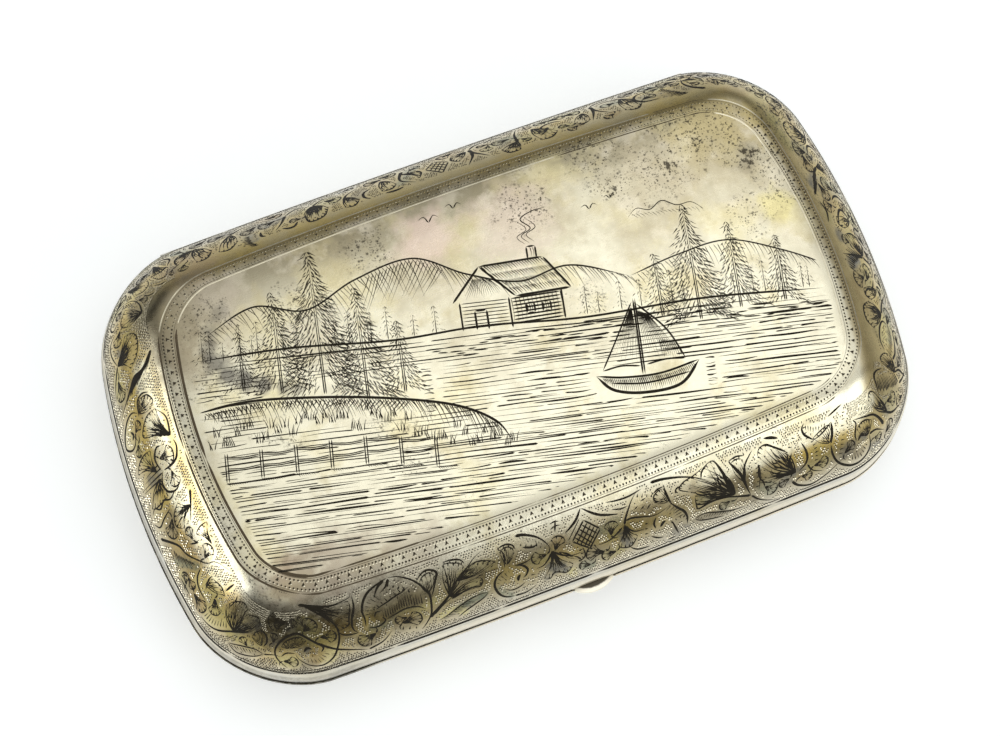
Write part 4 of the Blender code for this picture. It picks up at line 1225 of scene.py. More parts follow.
NEAR_RIGHT = """
w 40 5.7,7.6 6,8.55 6.7,9.9 7.4,11.05 8.3,12
l 26 3.6,12.2 5,11.9 7,11.8 9.2,12.2
l 22 4.3,10.8 5.55,10.4 6.7,10.4
f 44 5.7,7.6 | 4.2,4.4 4.7,3.8 5.3,3.55 5.8,3.4 6.4,3.55 7.4,4.8
w 36 5.3,7.3 4.2,6.5 2.8,5.9 1.1,5.9
w 34 5.9,7.3 6.25,6.6 7.2,5.8 8.9,5.55
l 26 6,3.3 7.2,2.3 9.2,2
w 32 6,8.2 6.9,8.3 8.3,7.9 10.55,7.3 13.2,8.1
l 40 12.4,11.3 12.6,9.9 12.9,8.8 13.2,7.9
l 24 10.7,10.8 11.4,11.2 12.4,11.3
f 26 12.7,8.6 | 10.6,9.4 10.7,10.3 11.4,10.9 12.3,11
l 20 7.5,9.4 8.2,9.9
l 20 8.4,9 9.2,9.6
l 20 9.4,8.7 10.1,9.5
l 20 8.6,10.4 9.6,10.6
l 22 10.7,10.6 10.7,9.7 11.7,9
l 40 13.05,8.3 13.9,7.2 14.9,6.05 15.3,4.8 15.2,3.55
l 30 10.55,6.9 10.1,5.9 10.3,4.9
l 58 11,4.8 11.5,5.5 12,5.6
l 26 12.9,5.2 13.3,3.8 13.75,2.4
l 24 9.4,3.8 10.55,3 11.4,2.8
l 20 11.9,1.9 13.3,2
h 18 13.2,8 14.3,6.9 15,5.6 | 12,7.2 12.8,6.4 13.3,5.4
w 50 10.55,12.6 12.5,12.4 15,11.75 17.2,10.8 19.4,9.4
f 50 23.05,5.5 | 16.2,8.8 14.6,9.9 15.4,10.8 17,11.2 18.6,11.9
f 46 23.05,5.5 | 19,12.1 20.1,12.3 20.9,11.2 21.9,9.2
l 26 18.05,10.2 18.3,11.3 19.4,12.3
l 30 20.3,12.4 21.1,10.5 21.9,8.55 23.05,5.9
l 24 13.9,9.5 14.2,10.2 15.1,10.4
l 30 16.8,7.6 16.9,6.05 17.2,5.5 19.4,5.9 21.7,5.6 23.6,4.9
f 34 22.6,5.7 | 16.8,7.9 17,6.4 18.6,5.9 20,6
w 44 25.55,4.25 23.6,4.9 21.7,5.6 19.8,5.9
l 22 16.4,3.9 17.5,4.2 18.6,4.1 20.5,3.4 22.5,2.8 24.6,2.6
l 20 16.4,3.9 17.4,3.2 19.2,2.7 21.2,2.3
h 16 17.2,4 19,3.9 21,3.2 23,2.8 | 16.9,3.5 18.4,3 20.2,2.6 22,2.3
l 30 25.55,4.25 24.9,6.05 24.6,8 24.9,9.9 26.25,11.75
l 55 22.4,11.3 23.3,9.9 24.2,8.3 24.7,6.3
l 24 22.4,11.3 23.6,11.6 24.9,11.3
f 26 24.6,7 | 22.7,10.9 23.6,11.2 24.5,10.9
w 30 25.6,4.2 26.7,3 28.3,2 30,1.5
f 46 32.8,5.1 | 26.9,10.3 27.2,11.4 28.3,11.7 29.6,10.8 31,9.8
l 26 27.1,11.6 28.3,11.6 29.8,10.6 31.7,9
l 40 32.2,8.8 31.8,7.4 31.9,6.05
f 30 32.6,5.1 | 26.9,8.9 26.9,7.2 27.6,5.8 29,5
w 30 26.9,9.1 27.1,7.2 26.8,4.4
l 55 28.05,12.7 29.2,12.4 30.3,11.9
l 34 33.75,9.9 34.4,8.55 34.7,7.2 34.4,6.05 33.3,5.2
w 30 34.7,5.8 35.6,4.4 37.5,3.4
w 44 32.2,3.8 33.3,2.6 35.3,1.75 37.2,2.2 38.9,3.1 40.8,4.5
l 30 38.5,7.7 38.75,6.05 39.7,4.1 41.4,2.6
l 30 34.4,12.7 34,11.9 34.4,10.8 35.8,9.5
l 24 35.8,9.5 37.2,10.1 38.6,11.3
l 48 38.6,11.3 38.7,9.4 38.5,7.7
f 28 38.3,7.9 | 35.6,9.8 36.6,10.4 37.6,10.9 38.3,11
h 20 34.6,12.4 36,11.6 37.6,11.6 | 34.6,11 36,10.2 37.4,10.6
l 26 40.4,13.3 38.05,12.2
t 20 10.6,10.9 12.4,11.4
t 22 15,10.3 14.2,9.6
t 20 22.6,11.2 24.8,11.6
t 22 26.6,9.4 26.8,7.4 26.7,5.4
t 24 9,6.4 8.8,4.6
t 20 12.8,5 14.6,5.4 15.2,4.6
t 22 40.6,12 40.4,10
t 20 32.6,11 32,9.8
t 20 34.4,12 34.8,10.2
t 20 35.6,9.4 36.2,7.6 36.2,6
t 18 40.6,9.2 40.4,7.2 40.2,5.4
t 20 8.4,11.4 10.4,10.6
"""


LEFT = """
w 46 -74.9,2.3 -72.6,5.5 -70.7,6.55 -68.9,8.4 -68.1,9.45 -67.6,11 -65.5,12.6
h 34 -72.4,4.2 -71,5.4 -69.6,6.6 | -70,3.6 -68.9,5 -68.4,7.4
l 26 -68.1,7.9 -67.3,6.3 -66,5.5 -64,5.4
l 22 -66.3,9.2 -66.1,8.1 -65.2,6.55
f 26 -65.8,7 | -65.9,9 -64.4,9.7 -63.1,9.45
l 28 -63.8,12.1 -63.6,10
l 28 -61.8,11.55 -60.9,10.6 -60.7,8.7
l 26 -57.3,11 -57.05,8.1
f 38 -57.05,6 | -61.6,8.8 -60.6,10.8 -58.8,11.6 -57.2,11.2
f 44 -57.05,6 | -56.6,10.4 -54.95,10.8 -53.6,10.8 -53,9.6
l 34 -62.8,2.5 -60.7,3 -59.2,3.9 -57.6,5.5 -56,6.8 -54.2,9.2
h 20 -62.4,3 -60.2,3.8 -58.4,5.4 | -62.4,5.4 -60.8,6.4 -59.8,7.4
l 34 -52.8,9.2 -51.3,8.4 -51,7.1 -51.5,6
f 22 -51.8,6 | -53.8,7 -53.4,8.2 -52.4,8.9
l 24 -57,3.1 -54.95,4.2 -52.8,4.85 -51.4,4.45
l 22 -57,3.1 -55.9,2.4 -54.9,2.3 -52.8,3.2 -51.4,4.4
h 16 -56.6,3.2 -54.8,4.1 -52.9,4.7 | -55.4,2.5 -53.9,3 -52.3,3.8
w 30 -51.4,4.4 -49.7,4.85 -48.6,4.7
l 34 -46.5,11.3 -48.2,11.4 -49.7,10.9 -49.2,10.1 -48.1,10.2
f 26 -46.9,11.2 | -50.6,12.6 -51.4,11.4 -50.6,10 -49.4,9.4
l 22 -68.8,2.7 -66,2.7
l 22 -71.1,9.8 -71.7,7.9
l 20 -71.3,12.1 -70.6,12.5
f 24 -70,11.8 | -73,12.6 -72.9,11.2 -72.4,10
h 56 -83.6,8.6 -82.4,8.5 -81.6,8.2 | -82.8,1.8 -82.1,1.3 -81.5,2
l 36 -85.4,12.4 -84.3,12.6 -82.9,11.9 -82.4,10.5 -82.4,8.8
l 34 -82.4,8.55 -81,7.7 -79.6,8.1 -79.05,9.7 -79.6,10.9
l 34 -82.6,8.4 -83.5,8 -84.6,7.9 -85.7,8.8 -85.6,9.9
l 26 -79.2,9.8 -78.5,8 -78.9,6.6 -78.2,5.2 -78.8,3.9 -78.2,2.8
f 28 -81.8,7.4 | -79,7.8 -78.8,6.2 -78.7,4.6 -79,3.3
f 28 -82.8,7.4 | -86,7.4 -86,5.6 -85.4,4 -84.4,2.9
w 50 -78.1,12.2 -76.3,11.3 -74,9.9
f 40 -76.2,11.2 | -77.4,9 -76.2,7.4 -74.8,7 -73.9,8.2
l 24 -77.4,7.2 -76.8,5.2 -76.2,3.4 -77.2,2.2
f 50 -86,12.2 | -90.6,10.9 -90.4,9 -89.4,7.6 -88.2,6.9 -87.5,8.6
w 36 -86,12.2 -88.6,12.4 -90.6,10.9
l 26 -93.2,10.5 -93.6,9 -93,7.7 -91,7.2
f 26 -91.4,7.4 | -93.2,8.2 -93,10 -91.8,10.9 -91,10.2
h 50 -98.2,12.9 -97,11.2 -96.4,8.3 | -95.6,10.9 -94.8,8 -93,4
w 56 -98.2,12.9 -96.6,10.5 -96.4,8.3 -95.4,6.9 -94.05,4.95 -92.4,2.2
l 34 -91.6,7.2 -92.25,5.8 -91.8,4.1 -90.2,2.4 -88.6,1.9 -87.8,3.55 -88.5,4.9 -89.6,4.9
l 50 -90.2,4.2 -89.5,4.8 -88.9,4.2
f 40 -99.6,4.8 | -97.8,8.2 -99,9.9 -100.8,10.6 -102.6,9.8 -103.2,8
w 34 -99.6,4.8 -97.4,3.2 -95.4,2.4
l 24 -99.6,4.8 -101.6,3.6 -103.6,3.6 -104.8,4.8
f 44 -107.2,11.8 | -104.6,9 -105.4,6.9 -107,6.2 -108.8,6.6
w 40 -107.2,11.8 -109.6,10.4 -110.6,8 -110,5
l 30 -110,5 -108.6,3.2 -106.4,2.8 -105.6,4.2 -106.8,5.2
f 32 -112.4,3.6 | -111.6,7.6 -113,9.4 -115,9.4 -115.8,7.6
w 34 -112.4,3.6 -115.2,3 -118,4.6
f 34 -118.2,4.6 | -116.6,8.4 -117.6,10.6 -119.8,11 -121,9
l 26 -114,12.6 -112.4,11.6 -112.2,10
l 24 -119,12.4 -117,12.2 -115.4,11
"""

RIGHT = """
l 30 38.6,7.2 39.1,5.2 40.2,3.55 42.2,2.3 44.4,2.2 46.05,3.55 46.3,6.05
w 34 46.3,6.05 48,5.6 49.7,3.8
w 55 49.9,4.9 49.4,6.9 48.3,8.55 46.3,9.4 44.4,9.9 42.4,10.2
l 30 42.4,10.2 43.3,9.4 42.9,7.7 43.2,6.4
l 50 43.5,6.2 44.3,7 45.2,6.4
f 24 45.8,6 | 43.4,8.4 44.8,9 46.2,8.8 47.6,8
h 18 42.4,3 44.4,2.9 45.6,4.2 | 42.2,4.8 43.8,4.6 44.8,5.2
l 20 44.5,11 45.1,11.6
l 20 45.4,10.8 46.1,11.4
l 20 46.4,10.5 47.2,11.1
f 40 51.6,5.9 | 48.6,11.4 49.9,12.1 51.2,11.6 51.6,10
l 30 50.9,8 51.3,6.4 52.6,4.4 54.6,3
h 36 52.4,10.5 54.6,8 57.2,5.2 | 55,12.4 57.4,11 59.4,8.6
l 32 52.4,10.5 54.8,12.5 57,12.4 58.6,10.9
w 36 57.4,5 59.6,3 62.4,2
l 30 58.6,7.2 59.6,5.6 59.4,4 59.2,2.4
f 30 58.8,6.8 | 59.8,10.8 61.4,11.2 62.6,10 62.4,8.4
w 44 61.3,7.4 62.8,5.9 64.7,4.9 67.2,4.4
h 20 62,7.4 63.6,6.2 65.4,5.4 | 63.4,9 65,8 66.6,7
l 26 63,9.4 64.6,9.9 66.4,9 67.4,7.4 66.8,6
f 36 68.6,6.9 | 66.4,10.8 67.8,12 69.6,11.7 70.4,10
w 34 68.6,6.9 70.2,5.4 71.75,2.7
l 28 71.6,10.2 72.3,8.6 72.3,7.2 73.8,5.6
f 26 72.2,5.8 | 70.6,8.8 71.4,10 72.4,9.9
l 24 70.2,3.6 72.2,2.2 74.6,2.2 76,3.4
h 44 75.1,10.5 76.2,9 77.2,6.5 | 76.2,12.4 77.9,11.8 79.2,10
w 55 77.3,6.3 77.5,9.4 77.7,12
w 40 77.3,6.3 76,4.4 73.9,5.5
f 30 77.4,6.2 | 80.8,9 81,7.2 80.4,5.6 79.4,4.6
l 30 82.4,9.4 83.8,8.6 84.9,7 84.2,5.6 82.8,5.2
f 26 83.2,5.4 | 81.8,8.4 82.4,9.6 83.6,9.4
l 28 86.3,8.3 87.1,6.8 87.1,5.2 86,3.6
h 44 86.9,12.5 88.4,11.6 89.5,11 | 89.2,9.8 90.6,8.8 91.9,7.7
w 40 91.9,7.7 90.2,10 86.9,12.5
l 26 82.6,12.2 84.4,11.4 86,12
f 26 91.9,7.7 | 90,4.6 91.2,3.6 92.8,4 93.4,5.4
l 22 91.3,6.4 92.6,6.8
l 26 94,8 95.6,6.4 95.6,4.4 94.2,3.2
f 26 97.4,4.6 | 95.4,8.8 96.8,10.4 98.8,10.2 99.8,8.4
w 28 97.4,4.6 99.6,3 102.4,3.6
f 22 104,5 | 102,8.6 103.6,10 105.4,9.4 106.2,7.6
l 22 108,9.6 109.6,7.8 109,5.6 107.2,4.8
f 20 112,4.6 | 110.4,8.2 112,9.6 113.8,8.8
l 20 114.6,8.8 116.4,8 117.2,6 116,4.2
"""

FAR = """
w 44 122.7,12 124,10 124.2,7.8 123.4,5.4
f 30 123.8,6.4 | 121,9.6 120.8,7.6 121.4,5.6
h 50 125,11.5 126.2,9.6 127,7 | 127.4,11.6 128.4,10 128.6,7.8
l 26 129.2,10.4 131.4,9.8 132.2,8 131.2,6.2 129.4,6
f 26 133.4,5 | 131.8,9.8 133.2,11.2 134.8,10.6
w 30 133.4,5 135.4,4 137.6,4.6
w 40 138,4 138,7 136.6,10
w 40 138,5.4 138.8,7.8 140,10.4
l 24 138,4 136.4,3 134.4,3.2
f 28 140,6 | 140.2,9.8 141.4,10.2 142.6,9.4
w 42 146,7 146.8,8.4 148,9.5
l 26 143.4,6.4 144.8,5.4 146.6,6 147,7.6
f 26 148,5.2 | 145.4,9.8 146.8,11 148.4,10.9
w 34 151.5,9 150.9,5.6 149.5,2
f 30 151.5,8.6 | 152,11.6 153.6,11.4 154.4,9.8
l 26 152.2,4 154,3.2 155.6,4.2
w 46 158.2,5 158,7 156.3,10.3
w 40 158.2,6.6 158.6,8.5 160,11
l 26 158.2,5 156.8,3.4 154.8,3.2
f 26 158.8,5.2 | 160.8,8.6 161.6,7 161.2,5.4
e 18 163.9,10.4 165.8,7.4
e 18 165.8,7.4 163.9,4.8
e 18 163.9,4.8 162.1,7.2
e 18 162.1,7.2 163.9,10.4
e 14 163.4,9.7 165.2,6.7
e 14 163,9 164.8,6
e 14 162.6,8.2 164.4,5.4
e 14 164.4,9.7 162.6,6.6
e 14 164.8,9 163,6
e 14 165.3,8.3 163.4,5.4
w 46 169,4 170,8 168,10.5
f 26 169.4,5.4 | 167.2,9.4 166.6,7.6 167,6
l 30 170,10.5 171.4,10.8 173,10.5
f 26 172.6,5.2 | 170.8,8.8 171.8,9.8 173.2,9.6
l 26 175.2,10.6 176,9.5 175.8,7.8 174.4,6.8
w 34 179,8 178.2,6 176.2,4.4
f 28 178.6,7 | 176.8,9.6 177.8,10.9 179.2,10.6
f 36 183.6,5.4 | 181.5,8.5 182.6,10.8 184.8,11 185.3,8
w 30 183.6,5.4 181.8,3.8 179.6,3.8
w 40 188,5.5 188.8,8 190,10
l 30 186.5,9.5 187.1,10.6 188,10.7 189,10
l 26 188,5.5 186.4,4 184.6,4.2
l 26 191.5,10.6 192.2,10 192.2,8.6
h 44 192.7,12.3 193.6,10.8 193.8,8.8 | 194.8,12 195.4,10.3 195.2,8.6
f 28 196.8,5 | 195.8,9 197.2,10.6 198.8,10.2
w 32 196.8,5 194.6,3.6 192.2,4
w 34 202.5,5.5 202.8,7.6 202.5,9.5
f 28 202.5,5.5 | 199.8,8.8 200.6,10.6 202.2,10.9
f 28 202.8,5.5 | 205.2,9.6 205.6,7.8 205,6
w 34 207.5,8.3 209.5,8.8 212,7.8
l 26 207.4,8.2 206.6,6 208,4.2 210.2,4
"""


# Punched ground: grid for the free places, its top, clearance of a stroke, rows and dots
GROUND_CELL, GROUND_TOP, GROUND_CLEAR = 0.1, 13.4, 0.34
GROUND_FROM, GROUND_TO, ROW_PITCH, DOT_PITCH, ROW_SHIFT = 1.45, 13.2, 0.36, 0.40, 0.2
# Beyond this place round the case the ground ends at one level, before it below the frame band
LEVEL_GROUND_FROM, LEVEL_GROUND_TOP, FRAME_MARGIN = 60, 10.5, 0.5


def taken_by(strokes, first, last):
    """Cells of the grid between two places that strokes and their clearance cover"""
    columns, rows = int((last - first) / GROUND_CELL), int(GROUND_TOP / GROUND_CELL)
    taken = np.zeros((columns, rows), bool)
    for path, width in strokes:
        turns = round(((first + last) / 2 - path[0, 0]) / PERIMETER)
        path = path + (turns * PERIMETER, 0)
        i = ((path[:, 0] - first) / GROUND_CELL).astype(int)
        j = (path[:, 1] / GROUND_CELL).astype(int)
        for a, b, w in zip(i, j, width):
            reach = int((w / 2 + GROUND_CLEAR) / GROUND_CELL)
            if not -reach < a < columns + reach:
                continue
            taken[max(0, a - reach) : a + reach + 1, max(0, b - reach) : b + reach + 1] = True
    return taken


def ornament_ground(strokes, first, last):
    """Rows of punch dots between the leaves"""
    taken = taken_by(strokes, first, last)
    columns, rows = taken.shape
    marks = []
    row, v = 0, GROUND_FROM
    while v < GROUND_TO:
        q = first + (ROW_SHIFT if row % 2 else 0.0)
        while q < last:
            place = (q + rng.uniform(-0.07, 0.07), v + rng.uniform(-0.06, 0.06))
            i, j = int((place[0] - first) / GROUND_CELL), int(place[1] / GROUND_CELL)
            top = border_width(place[0]) - FRAME_MARGIN if first < LEVEL_GROUND_FROM else LEVEL_GROUND_TOP
            if 0 <= i < columns and 0 <= j < rows and not taken[i, j] and place[1] < top:
                size = rng.uniform(0.105, 0.15)
                turn = rng.uniform(0, 1.5)
                marks.append((place, polygon(size, [turn + k * math.pi / 2 for k in range(4)])))
            q += DOT_PITCH
        v += ROW_PITCH
        row += 1
    return marks


def band_path(grow, count=None, pitch=None):
    """Places x, y on the engraved frame, this far outside its inner line; so many, or at a pitch"""
    a, b, radius = BAND_HALF_LENGTH + grow, BAND_HALF_WIDTH + grow, BAND_RADIUS + grow
    points = []
    for quarter, (sx, sy) in enumerate(((1, -1), (1, 1), (-1, 1), (-1, -1))):
        centre = (sx * (a - radius), sy * (b - radius))
        for k in range(31):
            angle = (quarter - 1) * math.pi / 2 + k / 30 * math.pi / 2
            points.append((centre[0] + radius * math.cos(angle), centre[1] + radius * math.sin(angle)))
    points.append(points[0])
    points = np.array(points)
    run = np.concatenate([[0], np.cumsum(np.hypot(*np.diff(points, axis=0).T))])
    count = count or int(run[-1] / pitch)
    want = np.arange(count) / count * run[-1]
    x, y = np.interp(want, run, points[:, 0]), np.interp(want, run, points[:, 1])
    bowed = x * (1 - BAND_END_BOW * (y / b) ** 2), y * (1 - BAND_SIDE_BOW * (x / a) ** 2)
    return np.stack(bowed, -1)


def border_width_table():
    """How far up the shoulder the frame's outer line lies, round the case"""
    path = band_path(BAND_WIDTH, 1200)
    places = np.linspace(0, PERIMETER, 657)
    levels = np.arange(11.0, 18.0, 0.25)
    widths = []
    for q in places:
        points = border_point(np.stack([np.full_like(levels, q), levels], -1))[:, :2]
        away = np.hypot(points[:, None, 0] - path[None, :, 0], points[:, None, 1] - path[None, :, 1]).min(1)
        widths.append(levels[away.argmin()])
    return places, np.array(widths)


WIDTH_PLACES, WIDTHS = border_width_table()


def border_width(q):
    return float(np.interp(q % PERIMETER, WIDTH_PLACES, WIDTHS))


# Lines of the frame band: distance outside the inner line, width; and the width of one worn bright, drawn as a
# bright line that is partly a painted highlight
FRAME_LINES = [(0.0, 0.16), (0.30, 0.06), (BAND_WIDTH - 0.28, 0.06), (BAND_WIDTH, 0.15)]
FRAME_STEPS, HIGHLIGHT_WIDTH = 800, 0.17


def frame_wear(x, y, grow):
    """How much wider than usual a frame line is cut, and where it is worn bright and carries a painted highlight
    """
    inner, outer = grow == 0, grow == BAND_WIDTH
    left_end = 1.1 * (x < -37) + 0.9 * (x < -22) * (y < -18)
    far_side = 0.9 * (x > 16) * (x < 36) * (y > 18)
    wider = (1.0 + inner * (left_end + far_side) + 0.7 * outer * (x < -36)) * (1 - 0.4 * (y > 16))
    bright = (x > 38) & (inner or outer) | (y > 17) & (inner & (x < 15) | outer & (x < 30))
    return wider, bright


def frame_strokes():
    """Lines that bound the frame band: dark ones, and those worn bright with a painted highlight"""
    dark, bright = [], []
    for grow, width in FRAME_LINES:
        path = band_path(grow, FRAME_STEPS)
        path = np.concatenate([path, path[:1]])
        start = 0
        while start < FRAME_STEPS:
            run = rng.randint(60, 110)
            piece = path[start : start + run + 2]
            start += run
            if len(piece) <= 3:
                continue
            wider, shine = frame_wear(piece[:, 0], piece[:, 1], grow)
            widths = wider * width * rng.uniform(0.7, 1.15) * PROFILES["even"](np.linspace(0, 1, len(piece)))
            widths = np.where(shine, np.maximum(widths, HIGHLIGHT_WIDTH), widths)
            for part in np.split(np.arange(len(piece)), np.flatnonzero(np.diff(shine.astype(int))) + 1):
                if len(part) > 3:
                    (bright if shine[part[0]] else dark).append((piece[part], widths[part]))
    return dark, bright


# Marks of the frame band: distance outside its inner line and pitch of the dots and the triangles
FRAME_DOTS, FRAME_DOT_PITCH = (0.62, BAND_WIDTH - 0.55), 0.5
FRAME_TRIANGLES, FRAME_TRIANGLE_PITCH = 1.14, 1.6
FAINT_BEYOND = 17


def frame_punches():
    """Two rows of dots with a row of triangles between them, smaller on the far side"""
    marks = []
    for grow in FRAME_DOTS:
        for x, y in band_path(grow, pitch=FRAME_DOT_PITCH):
            size = rng.uniform(0.12, 0.16) * (0.6 if y > FAINT_BEYOND else 1.0)
            marks.append(((x, y), polygon(size, [k * 2 * math.pi / 5 for k in range(5)])))
    path = band_path(FRAME_TRIANGLES, pitch=FRAME_TRIANGLE_PITCH)
    for (x, y), before, after in zip(path, np.roll(path, 1, 0), np.roll(path, -1, 0)):
        outward = math.atan2(after[1] - before[1], after[0] - before[0]) + math.pi / 2
        size = 0.22 if y > FAINT_BEYOND else 0.33
        marks.append(((x, y), polygon(size, [outward + a for a in (0, 2.2, -2.2)])))
    return marks


# Double line above the plain rim: levels and widths, and the place where it rises towards the hinge's end
RIM_LINES = [(0.75, 0.42), (1.30, 0.16)]
RISE_PLACE, RISE_REACH, RISE = 283, 9, 0.45


def rim_strokes():
    """Double thin line above the plain rim"""
    made = []
    for v, width in RIM_LINES:
        q = 0.0
        while q < PERIMETER:
            run = rng.uniform(14, 30)
            places = np.arange(q, min(q + run, PERIMETER) + 0.2, 0.45)
            rise = RISE * np.exp(-(((places - RISE_PLACE) / RISE_REACH) ** 2))
            widths = width * PROFILES["even"](np.linspace(0, 1, len(places)))
            made.append((np.stack([places, v + rise], -1), widths))
            q += run
    return made


# Landscape on the panel, in picture axes: s along the hatching, t up the picture
PICTURE_TILT = math.radians(-13)


def picture(points):
    points = np.asarray(points, float)
    cos, sin = math.cos(PICTURE_TILT), math.sin(PICTURE_TILT)
    x, y = points[..., 0], points[..., 1]
    return np.stack([x * cos - y * sin, x * sin + y * cos], -1)


PANEL_MARGIN, PANEL_CORNERS = 0.8, 1.83


def inside_panel(x, y):
    """Whether places lie inside the frame's inner line, its corners cut off"""
    a, b = BAND_HALF_LENGTH - PANEL_MARGIN, BAND_HALF_WIDTH - PANEL_MARGIN
    across = abs(x) < a * (1 - BAND_END_BOW * (y / b) ** 2)
    along = abs(y) < b * (1 - BAND_SIDE_BOW * (x / a) ** 2)
    return across & along & (abs(x) / a + abs(y) / b < PANEL_CORNERS)


class Picture:
    """Strokes of the panel's picture, cut off at its frame"""

    def __init__(self):
        self.strokes = []

    def line(self, points, width=0.2, profile="both"):
        path, widths = stroke(picture(points), width, profile)
        keep = inside_panel(path[:, 0], path[:, 1])
        runs = np.split(np.arange(len(path)), np.flatnonzero(np.diff(keep.astype(int))) + 1)
        for run in runs:
            if keep[run[0]] and len(run) > 2:
                self.strokes.append((path[run], widths[run]))

    def lines(self, curves, width, profile="even"):
        for points in curves:
            self.line(points, width, profile)

    def closed(self, corners, width):
        """Straight outline through these corners"""
        self.lines(zip(corners, corners[1:] + corners[:1]), width)

    def water(self, s_low, s_high, t_low, t_high, pitch, width, holes=()):
        """Long hatch lines, broken where something stands"""
        t = t_low
        while t < t_high:
            s = s_low + rng.uniform(0, 4)
            while s < s_high:
                run = rng.choice((4, 7, 10, 14, 18)) * rng.uniform(0.7, 1.2)
                end = min(s + run, s_high)
                for a, b, c, d in holes:
                    if c < t < d and s < b and end > a:
                        end = min(end, a) if s < a else s
                        s = b if end <= s else s
                        end = max(end, s + 1.5)
                middle = (s + end) / 2
                if end - s > 1.2:
                    wave = rng.uniform(-0.12, 0.12)
                    curve = [(s, t), (middle, t + wave), (end, t + rng.uniform(-0.1, 0.1))]
                    self.line(curve, width * rng.uniform(0.55, 1.3), rng.choice(["both", "start", "end"]))
                s = end + rng.uniform(0.2, 1.6)
            t += pitch * rng.uniform(0.75, 1.25)

    def fir(self, s, t, height, width=0.17):
        """A fir of many short drooping strokes, darker on its right side"""
        self.line([(s, t - 0.4), (s + 0.1, t + height)], width * 1.1, "start")
        level = 0.03
        while level < 1:
            tier = (level * height / 1.9) % 1
            spread = height * 0.29 * level * (0.72 + 0.42 * tier)
            top = t + height * (1 - level * 0.94)
            for side, density in ((-1, 0.62), (1, 0.42)):
                away = rng.uniform(0.05, 0.3)
                while away < 1:
                    s0 = s + side * spread * away
                    t0 = top - spread * away * 0.42
                    angle = math.radians(rng.uniform(52, 80) - 34 * away)
                    run = rng.uniform(0.55, 1.15) * (0.5 + height / 26)
                    s1, t1 = s0 + side * run * math.cos(angle), t0 - run * math.sin(angle)
                    middle = ((s0 + s1) / 2 + side * 0.05, (t0 + t1) / 2 - 0.04)
                    self.line([(s0, t0), middle, (s1, t1)], width * rng.uniform(0.8, 1.35), "start")
                    away += density * rng.uniform(0.7, 1.3) / max(spread, 0.6)
            level += 0.62 / height * rng.uniform(0.75, 1.25)

    def hatch(self, low_curve, high_curve, pitch, width, lean=0.0, reach=(0.7, 1.0)):
        """Parallel strokes between two curves with as many points"""
        count = max(2, int(run_length(low_curve) / pitch))
        lower, upper = resample(low_curve, count), resample(high_curve, count)
        for a, b in zip(upper, lower):
            end = a + (b - a) * rng.uniform(*reach) + (lean, 0)
            self.line([a, (a + end) / 2 + (0.1, 0), end], width * rng.uniform(0.7, 1.15), "start")


def far_hills(p):
    ridge = [(-41, 5.2), (-34, 8.6), (-27, 7.2), (-20, 10.6), (-12, 12.6), (-5, 9.4), (2, 7.4)]
    ridge += [(9, 8.8), (17, 6.2)]
    p.line(ridge, 0.24, "even")
    foot = [(-41, 2.2), (-34, 2.6), (-27, 2.8), (-20, 3.2), (-12, 4), (-5, 3.6), (2, 3.2), (9, 3), (17, 2.6)]
    p.hatch(foot, ridge, 0.5, 0.12, 1.4, (0.25, 0.7))
    foot, top = [(-19, 5), (-14, 6.4), (-10, 6)], [(-18, 10.9), (-12, 12.4), (-8, 10.6)]
    p.hatch(foot, top, 0.42, 0.13, -1.2, (0.5, 1.0))
    p.line([(17, 6.2), (24, 8.4), (31, 9.6), (38, 7.4), (44, 4.6)], 0.2, "even")
    foot = [(18, 3.2), (26, 3.4), (34, 3), (42, 2.6)]
    p.hatch(foot, [(18, 6.4), (26, 8.8), (34, 9), (42, 5.6)], 0.55, 0.11, 1.0, (0.3, 0.7))


def shore(p):
    """The far bank with a row of small firs"""
    p.line([(-43, 2.0), (-30, 2.2), (-16, 1.4), (-4, 1.8), (10, 1.2), (26, 1.8), (43, 1.2)], 0.30, "even")
    p.line([(-38, 1.2), (-26, 0.9), (-12, 0.6)], 0.24)
    p.line([(0, 0.7), (14, 0.4), (30, 0.9)], 0.22)
    for s in np.arange(-42, 43, 1.7):
        if rng.random() < 0.8 and not -9 < s < 9.5:
            p.fir(s + rng.uniform(-0.7, 0.7), 1.9, rng.uniform(2.4, 4.8), 0.13)


